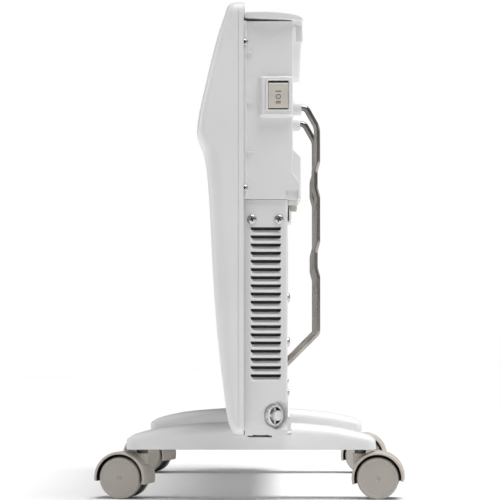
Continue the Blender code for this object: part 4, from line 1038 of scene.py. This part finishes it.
def rear_rod(hand, side):
    x = side * ROD_X
    corners = [((x, ROD_END_Y, ROD_TOP_Z), 0), ((x, ROD_SHOULDER_Y, ROD_TOP_Z), 0.007),
               ((x, ROD_Y, ROD_SHOULDER_Z), 0.016)]
    for z in ROD_JOGS:
        for y, height in ((ROD_Y, z + ROD_JOG_OUTER), (ROD_Y - ROD_JOG, z + ROD_JOG_INNER),
                          (ROD_Y - ROD_JOG, z - ROD_JOG_INNER), (ROD_Y, z - ROD_JOG_OUTER)):
            corners.append(((x, y, height), 0.016))
    corners += [((x, ROD_Y, ROD_BEND_Z), 0.006),
                ((x, ROD_END_Y, ROD_BEND_Z - (ROD_Y - ROD_END_Y)), 0)]
    piece(f"{hand}_rod_bar", tube(rounded_path(corners), ROD_RADIUS), "chrome",
          nodes=(f"{hand}_rear_rod",))
    low, high, bore = CASE_REAR + GAP, COLLAR_END, ROD_RADIUS + 0.0004
    collar = [(bore, low), (COLLAR_RADIUS, low), (COLLAR_RADIUS, low + 0.0030),
              (COLLAR_RADIUS - 0.0005, low + 0.0036), (COLLAR_RADIUS - 0.0005, high - 0.0018),
              (COLLAR_RADIUS - 0.0010, high - 0.0006), (COLLAR_RADIUS - 0.0019, high),
              (bore + 0.0005, high), (bore, high - 0.0005)]
    piece(f"{hand}_collar_sleeve", facing(turned(collar, 48), (0, 1, 0), (x, 0, ROD_TOP_Z)),
          "white_plastic", nodes=(f"{hand}_rod_collar",))


# ---------------------------------------------------------------- fasteners

def screw(name, head_radius, seat, axis, location, nodes=(), spin=0.35):
    """Pan-head screw with a cross recess."""
    height = 0.42 * head_radius + 0.0004
    shank = 0.38 * head_radius
    dome = [(head_radius * (1 - 0.10 * t**3) * math.cos(math.pi / 2 * t) if t < 1 else 0.0,
             seat + GAP + height * (0.25 + 0.70 * math.sin(math.pi / 2 * t)))
            for t in spread(0.0, 1.0, 8)]
    profile = [(0, seat - 0.0050), (shank, seat - 0.0050), (shank, seat + GAP),
               (head_radius, seat + GAP)] + dome
    head = turned(profile, 40)
    arm, wide = 0.66 * head_radius, 0.17 * head_radius
    low, high = seat + 0.20 * height, seat + 2.0 * height
    cross = []
    for long_way in (True, False):
        sizes = (arm, wide) if long_way else (wide, arm)
        rings = [[(sizes[0] * f * a, sizes[1] * g * b, z) for a, b in
                  ((-1, -1), (1, -1), (1, 1), (-1, 1))]
                 for f, g, z in ((0.45, 0.6, low), (1.15, 1.15, high))]
        cross.append(loft(rings))
    cutter = boolean(cross[0], cross[1], "UNION")
    head = boolean(head, cutter)
    # The recess's walls and floor take the dark finish: painted shade in the cross recess.
    for face in head.faces:
        at = face.calc_center_median()
        if math.hypot(at.x, at.y) < 0.75 * head_radius and at.z < seat + GAP + 0.80 * height:
            face.material_index = 1 if abs(face.normal.z) < 0.9 or at.z < low + 1e-5 else 0
    piece(name, facing(head, axis, location, spin), "zinc_steel", nodes=nodes,
          inner="dark_steel")


def fasteners():
    for i, (node, (y, z)) in enumerate(zip(("side_screw_front", "side_screw_rear"), SIDE_SCREWS)):
        screw(f"{node}_head", 0.0046, CASE_HALF_WIDTH, (1, 0, 0), (0, y, z), (node,), 0.3 + i)
        screw(f"{node}_left", 0.0046, CASE_HALF_WIDTH, (-1, 0, 0), (0, y, z), (), 0.7 + i)
    for node, (y, z) in zip(("housing_screw_upper", "housing_screw_lower"), HOUSING_SCREWS):
        screw(f"{node}_head", 0.0032, RIM_FACE, (1, 0, 0), (0, y, z), (node,))
        screw(f"{node}_left", 0.0032, RIM_FACE, (-1, 0, 0), (0, y, z))
    for i, (node, x, z, radius) in enumerate(REAR_SCREWS):
        screw(f"{node}_head", radius, CASE_REAR, (0, 1, 0), (x, 0, z), (node,), 0.4 + 0.6 * i)


def cord_gland():
    """Plate and ribbed sleeve under the right housing where a supply lead would leave it."""
    x, y = 0.2685, 0.0430
    outline = rounded(rectangle(x - 0.0065, x + 0.0065, y - 0.0051, y + 0.0051), 0.0012, 4)
    plate = pillow(outline, 0.2900, SPLIT_Z - GAP, "Z", 0.0005, (True, False))
    plate = boolean(plate, moved(cylinder(0.0026, 0.280, 0.300, 32), (x, y, 0)))
    piece("cord_gland_plate", plate, "white_plastic", nodes=("cord_gland",))
    ribs = [(0.0022, 0.2840), (0.0034, 0.2840), (0.0037, 0.2843)]
    for k in range(4):
        z = 0.2848 + 0.0013 * k
        ribs += [(0.0037 + 0.0001 * k, z), (0.0034 + 0.0001 * k, z + 0.0003),
                 (0.0034 + 0.0001 * k, z + 0.0007), (0.0038 + 0.0001 * k, z + 0.0010)]
    ribs += [(0.0042, 0.2902), (0.0022, 0.2902)]
    piece("cord_gland_sleeve", moved(turned(ribs, 40), (x, y, 0)), "rocker_plastic")


# ---------------------------------------------------------------- carried-over CAD nodes

def finish_cad_nodes():
    """The nodes whose shape is right get procedural finishes."""
    kept = {
        "bottom_panel": "white_paint", "switch_body": "dark_plastic",
        "thermostat_body": "dark_plastic", "right_foot_bolt": "zinc_steel",
        "left_foot_bolt": "zinc_steel", "right_heating_panel": "mica_board",
        "left_heating_panel": "mica_board", "upper_element_rail": "bright_sheet",
        "lower_element_rail": "bright_sheet", "heat_reflector": "bright_sheet",
        "thermal_cutout": "dark_plastic", "tip_over_switch": "dark_plastic",
        "terminal_block": "white_plastic",
    }
    for name, *_ in CASTORS:
        kept[f"{name}_castor_stem"] = kept[f"{name}_castor_axle"] = "dark_steel"
    for node, finish in kept.items():
        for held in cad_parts[node].material_slots:
            held.material = FINISH[finish]


# ---------------------------------------------------------------- stage

def lamp(name, kind, location, power, target=(0, 0, 0.25), **shape):
    data = bpy.data.lights.new(name, kind)
    data.energy = power
    for key, value in shape.items():
        setattr(data, key, value)
    made = bpy.data.objects.new(name, data)
    made.location = location
    made.rotation_euler = (Vector(target) - Vector(location)).to_track_quat("-Z", "Y").to_euler()
    bpy.context.scene.collection.objects.link(made)


def stage():
    half = FLOOR_HALF
    bm = bmesh.new()
    bm.faces.new([bm.verts.new((x, y, -0.0001))
                  for x, y in ((-half, -half), (half, -half), (half, half), (-half, half))])
    floor = as_object("floor", bm)
    pale = surface("pale_floor", ((0.89, 0.89, 0.89), (0.92, 0.92, 0.92)), (0.70, 0.80), cloud=2.0,
                   grain=(60.0, 0.03, 0.0002))
    floor.data.materials.append(pale)

    scene = bpy.context.scene
    world = bpy.data.worlds.new("studio")
    scene.world = world
    world.use_nodes = True
    tree = world.node_tree
    glow = tree.nodes["Background"]
    glow.inputs["Color"].default_value = (1, 1, 1, 1)
    seen = tree.nodes.new("ShaderNodeBackground")
    seen.inputs["Color"].default_value = (1, 1, 1, 1)
    seen.inputs["Strength"].default_value = WORLD_SEEN
    glow.inputs["Strength"].default_value = WORLD_GLOW
    path = tree.nodes.new("ShaderNodeLightPath")
    mix = tree.nodes.new("ShaderNodeMixShader")
    tree.links.new(path.outputs["Is Camera Ray"], mix.inputs["Fac"])
    tree.links.new(glow.outputs["Background"], mix.inputs[1])
    tree.links.new(seen.outputs["Background"], mix.inputs[2])
    tree.links.new(mix.outputs["Shader"], tree.nodes["World Output"].inputs["Surface"])
    scene.view_settings.view_transform = "Standard"

    lamp("overhead", "SUN", *SUN, angle=math.radians(SUN_ANGLE))
    lamp("front", "AREA", *FRONT_LIGHT, shape="DISK", size=1.0)
    lamp("rear", "AREA", *REAR_LIGHT, shape="DISK", size=1.0)

    camera = bpy.data.cameras.new("camera")
    camera.lens, camera.sensor_width = CAMERA_LENS, 36.0
    eye = bpy.data.objects.new("camera", camera)
    eye.location = Vector(CAMERA_AT) + Vector((0, SHIFT, 0))
    toward = Vector(CAMERA_TOWARD)
    eye.rotation_euler = toward.to_track_quat("-Z", "Y").to_euler()
    scene.collection.objects.link(eye)
    scene.camera = eye


stage()
front_bezel()
front_grille()
side_panel("right_side_panel", 1)
side_panel("left_side_panel", -1)
rear_panel()
end_housing("control_housing", 1)
end_housing("left_end_housing", -1)
top_cap()
switch()
thermostat()
for hand, side in (("right", 1), ("left", -1)):
    foot(f"{hand}_foot", side)
    rear_rod(hand, side)
    louvre_shade_board(hand, side)
for name, side, end, degrees_turned in CASTORS:
    castor(name, side, end, degrees_turned)
fasteners()
cord_gland()
finish_cad_nodes()
